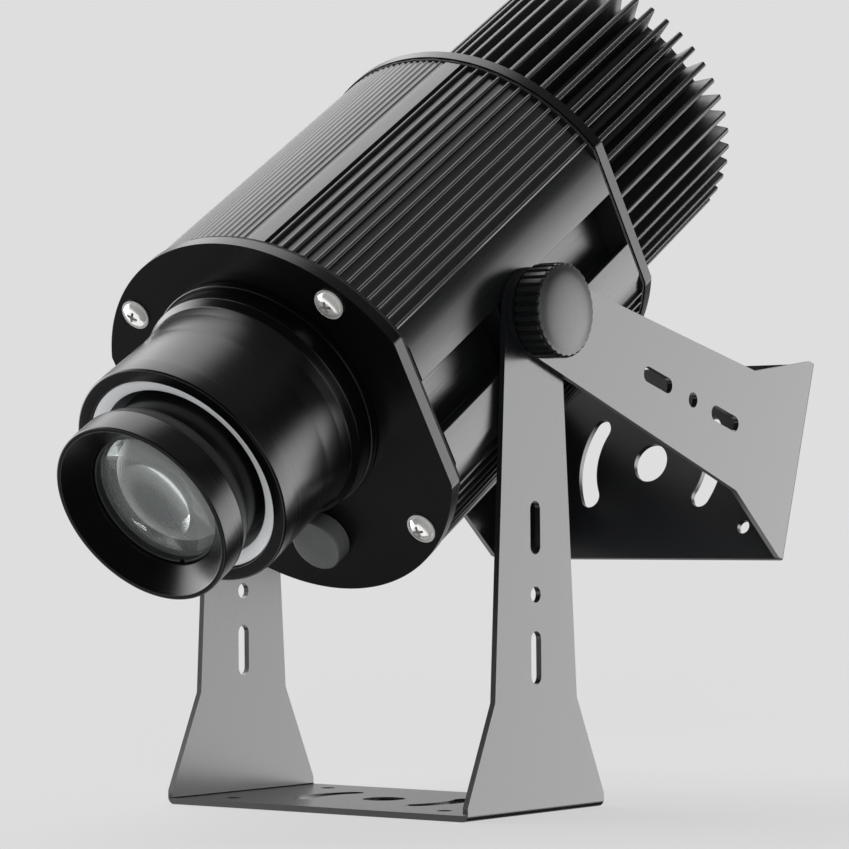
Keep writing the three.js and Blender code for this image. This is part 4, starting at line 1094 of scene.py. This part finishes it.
def fluted_knob(name, sizes, matrix):
    """A knob of stacked rings whose flutes fade out on the rounded shoulder."""
    steps = sizes.flutes * POINTS_PER_FLUTE
    face, top = sizes.face, sizes.face + sizes.thickness
    rim, shoulder = sizes.radius, sizes.shoulder
    edge = top - KNOB_RISE
    # Each ring is a share of the radius, a station and a share of the flutes' depth
    rings = [(0.76, face + KNOB_RECESS, 0), (0.8, face, 0), (0.955, face, 1),
             (1, face + 0.8 * MM, 1), (1, edge - shoulder, 1)]
    for k in range(1, 7):
        bend = QUARTER * k / 6
        share = 1 - shoulder * (1 - math.cos(bend)) / rim
        rings.append((share, edge - shoulder * (1 - math.sin(bend)), 1 - k / 6))
    rings += [(share, top - drop * MM, 0) for share, drop in KNOB_DOME]
    verts, faces = [], []
    for share, height, depth in rings:
        for i in range(steps):
            angle = FULL_TURN * i / steps
            wave = max(0.0, math.cos(angle * sizes.flutes)) ** 0.8
            radius = rim * share - sizes.flute * depth * wave
            verts.append((radius * math.cos(angle), radius * math.sin(angle), height))
    for ring in range(len(rings) - 1):
        for i in range(steps):
            j = (i + 1) % steps
            low, high = ring * steps, (ring + 1) * steps
            faces.append((low + i, low + j, high + j, high + i))
    verts += [(0, 0, top), (0, 0, face + KNOB_RECESS)]
    last = (len(rings) - 1) * steps
    for i in range(steps):
        j = (i + 1) % steps
        faces.append((last + i, last + j, len(verts) - 2))
        faces.append((j, i, len(verts) - 1))
    return place(name, verts, faces, matrix, 40)


class PROJECTOR_OT_carried_nodes(Operator):
    """Give each part that keeps its modelled shape its finish"""
    bl_idname = "projector.carried_nodes"
    bl_label = "Carried-over parts"

    def execute(self, context):
        slot_of = {part["node"]: part["material_slot"] for part in frame["record"]["subparts"]}
        for name, node in frame["nodes"].items():
            if node.hide_render:
                continue
            node.data.materials.clear()
            node.data.materials.append(palette()[slot_of[name]])
            smooth(node, 25)
        return {"FINISHED"}


# Strength of the even sky, of the floor's own glow and of the wide fill from in front
SKY_FILL = 0.03
FLOOR_GLOW = 0.572
FRONT_FILL = 2.1
FILL_ANGLE = math.radians(30)
FILL_DIRECTION = (-0.6, 0.78, -0.14)

# Each soft box: its direction, half angle and soft rim in degrees, and strength. The last, with a
# strength below zero, is a dark flag in the middle of the one before it
SOFT_BOXES = (
    ((0.58, 0.82, -0.12), 8, 20, 6.3),
    ((-0.48, 0.29, 0.83), 14, 25, 4.1),
    ((1.0, 0.05, 0.05), 14, 18, 1.3),
    ((-0.12, 1.0, 0.2), 12, 14, 1.0),
    ((0.2, 0.2, 0.96), 24, 26, 0.25),
    ((-0.625, 0.78, 0.0), 20, 20, 0.7),
    ((-0.95, -0.22, 0.2), 12, 24, 7.5),
    ((-0.625, -0.343, -0.7), 40, 12, 1.5),
    ((-0.625, -0.343, -0.7), 7, 15, -1.35),
)
BACKDROP = linear("dedede")

# The photograph's camera: place, sensor and lens in millimetres, angles in degrees
CAMERA_PLACE = Vector((923.9, -1144.44, 124.02)) * MM
CAMERA_YAW, CAMERA_PITCH, CAMERA_ROLL = 38.71, -1.21, -0.45
CAMERA_SENSOR, CAMERA_LENS = 36, 151.49


class PROJECTOR_OT_studio(Operator):
    """Make the floor, the soft light and the camera"""
    bl_idname = "projector.studio"
    bl_label = "Studio"

    def execute(self, context):
        self.floor(context)
        self.light(context)
        self.front_fill(context)
        self.camera(context)
        return {"FINISHED"}

    def floor(self, context):
        """A wide pale floor of backlit acrylic, just under the bracket."""
        reach, low = 30, -0.05 * MM
        corners = [(-reach, -reach), (reach, -reach), (reach, reach), (-reach, reach)]
        verts = [(x, y, low) for x, y in corners]
        floor = place("studio_floor", verts, [(0, 1, 2, 3)], Matrix())
        glow = {"specular_ior_level": 0.0, "emission_strength": FLOOR_GLOW}
        material, tree, shader = new_material("backlit_opal_acrylic", **glow)
        base = context.scene.projector.finish.floor
        cloud = grain(tree, 1 / (60 * MM), 2.0)
        dress(tree, shader, base, (cloud, 0.995, 1.0), (cloud, 0.9, 1.0), (cloud, 0.01, 0.01 * MM))
        floor.data.materials.append(material)
        floor.visible_glossy = False

    def light(self, context):
        """Soft boxes as bright patches of the sky, so that the floor stays even."""
        world = bpy.data.worlds.new("soft_studio")
        world.use_nodes = True
        context.scene.world = world
        tree = world.node_tree
        tree.nodes.clear()
        ray = add_node(tree, "ShaderNodeTexCoord").outputs["Generated"]
        total = add_node(tree, "ShaderNodeValue").outputs[0]
        total.default_value = SKY_FILL
        for direction, wide, soft, strength in SOFT_BOXES:
            inputs = {0: ray, 1: Vector(direction).normalized()}
            facing = add_node(tree, "ShaderNodeVectorMath", inputs, operation="DOT_PRODUCT")
            rim, core = (math.cos(math.radians(angle)) for angle in (wide + soft, wide))
            inputs = {"Value": facing.outputs["Value"], "From Min": rim, "From Max": core,
                      "To Max": strength}
            patch = add_node(tree, "ShaderNodeMapRange", inputs, interpolation_type="SMOOTHSTEP")
            inputs = {0: total, 1: patch.outputs["Result"]}
            total = add_node(tree, "ShaderNodeMath", inputs, operation="ADD").outputs[0]
        seen = add_node(tree, "ShaderNodeLightPath").outputs["Is Camera Ray"]
        lit = add_node(tree, "ShaderNodeBackground", {"Strength": total})
        back = add_node(tree, "ShaderNodeBackground", {"Color": [*BACKDROP, 1]})
        inputs = {0: seen, 1: lit.outputs[0], 2: back.outputs[0]}
        mixed = add_node(tree, "ShaderNodeMixShader", inputs)
        add_node(tree, "ShaderNodeOutputWorld", {"Surface": mixed.outputs[0]})
        context.scene.view_settings.view_transform = "Standard"

    def front_fill(self, context):
        """A weak wide fill from in front, which shows on the pale pieces alone."""
        data = bpy.data.lights.new("front_fill", "SUN")
        data.energy = FRONT_FILL
        data.angle = FILL_ANGLE
        fill = bpy.data.objects.new("front_fill", data)
        context.scene.collection.objects.link(fill)
        fill.rotation_euler = Vector(FILL_DIRECTION).to_track_quat("-Z", "Y").to_euler()
        fill.visible_glossy = False

    def camera(self, context):
        """The photograph's place and angle."""
        data = bpy.data.cameras.new("photo_camera")
        data.sensor_width, data.lens = CAMERA_SENSOR, CAMERA_LENS
        data.clip_start, data.clip_end = 0.05, 100
        camera = bpy.data.objects.new("photo_camera", data)
        context.scene.collection.objects.link(camera)
        yaw, pitch, roll = (math.radians(a) for a in (CAMERA_YAW, CAMERA_PITCH, CAMERA_ROLL))
        level = math.cos(pitch)
        back = Vector((math.sin(yaw) * level, -math.cos(yaw) * level, math.sin(pitch)))
        right = Vector((math.cos(yaw), math.sin(yaw), 0))
        up = back.cross(right)
        across = right * math.cos(roll) + up * math.sin(roll)
        upward = up * math.cos(roll) - right * math.sin(roll)
        turned_to = Matrix((across, upward, back)).transposed().to_4x4()
        camera.matrix_world = Matrix.Translation(CAMERA_PLACE) @ turned_to
        context.scene.camera = camera


class PROJECTOR_PT_panel(Panel):
    """Lists the operators, the sizes and the colours"""
    bl_idname = "PROJECTOR_PT_panel"
    bl_label = "Gobo Projector"
    bl_space_type = "VIEW_3D"
    bl_region_type = "UI"
    bl_category = "Projector"

    def draw(self, context):
        for operator in OPERATORS:
            self.layout.operator(operator.bl_idname)
        projector = context.scene.projector
        for part in ("bracket", "body", "optics", "sink", "clamp", "finish"):
            group, box = getattr(projector, part), self.layout.box()
            for name in group.bl_rna.properties.keys():
                if name not in ("name", "rna_type"):
                    box.prop(group, name)


OPERATORS = (
    PROJECTOR_OT_studio,
    PROJECTOR_OT_brackets,
    PROJECTOR_OT_housing,
    PROJECTOR_OT_end_plates,
    PROJECTOR_OT_screws,
    PROJECTOR_OT_heat_sink,
    PROJECTOR_OT_sink_cover,
    PROJECTOR_OT_lens_tube,
    PROJECTOR_OT_focus_group,
    PROJECTOR_OT_clamps,
    PROJECTOR_OT_carried_nodes,
)
GROUPS = (BracketSizes, BodySizes, OpticsSizes, SinkSizes, ClampSizes, Finishes, ProjectorSizes)


def register():
    for item in (*GROUPS, *OPERATORS, PROJECTOR_PT_panel):
        bpy.utils.register_class(item)
    bpy.types.Scene.projector = PointerProperty(type=ProjectorSizes)


def unregister():
    del bpy.types.Scene.projector
    for item in reversed((*GROUPS, *OPERATORS, PROJECTOR_PT_panel)):
        bpy.utils.unregister_class(item)


def main():
    register()
    for operator in OPERATORS:
        group, name = operator.bl_idname.split(".")
        getattr(getattr(bpy.ops, group), name)()


if __name__ == "__main__":
    main()
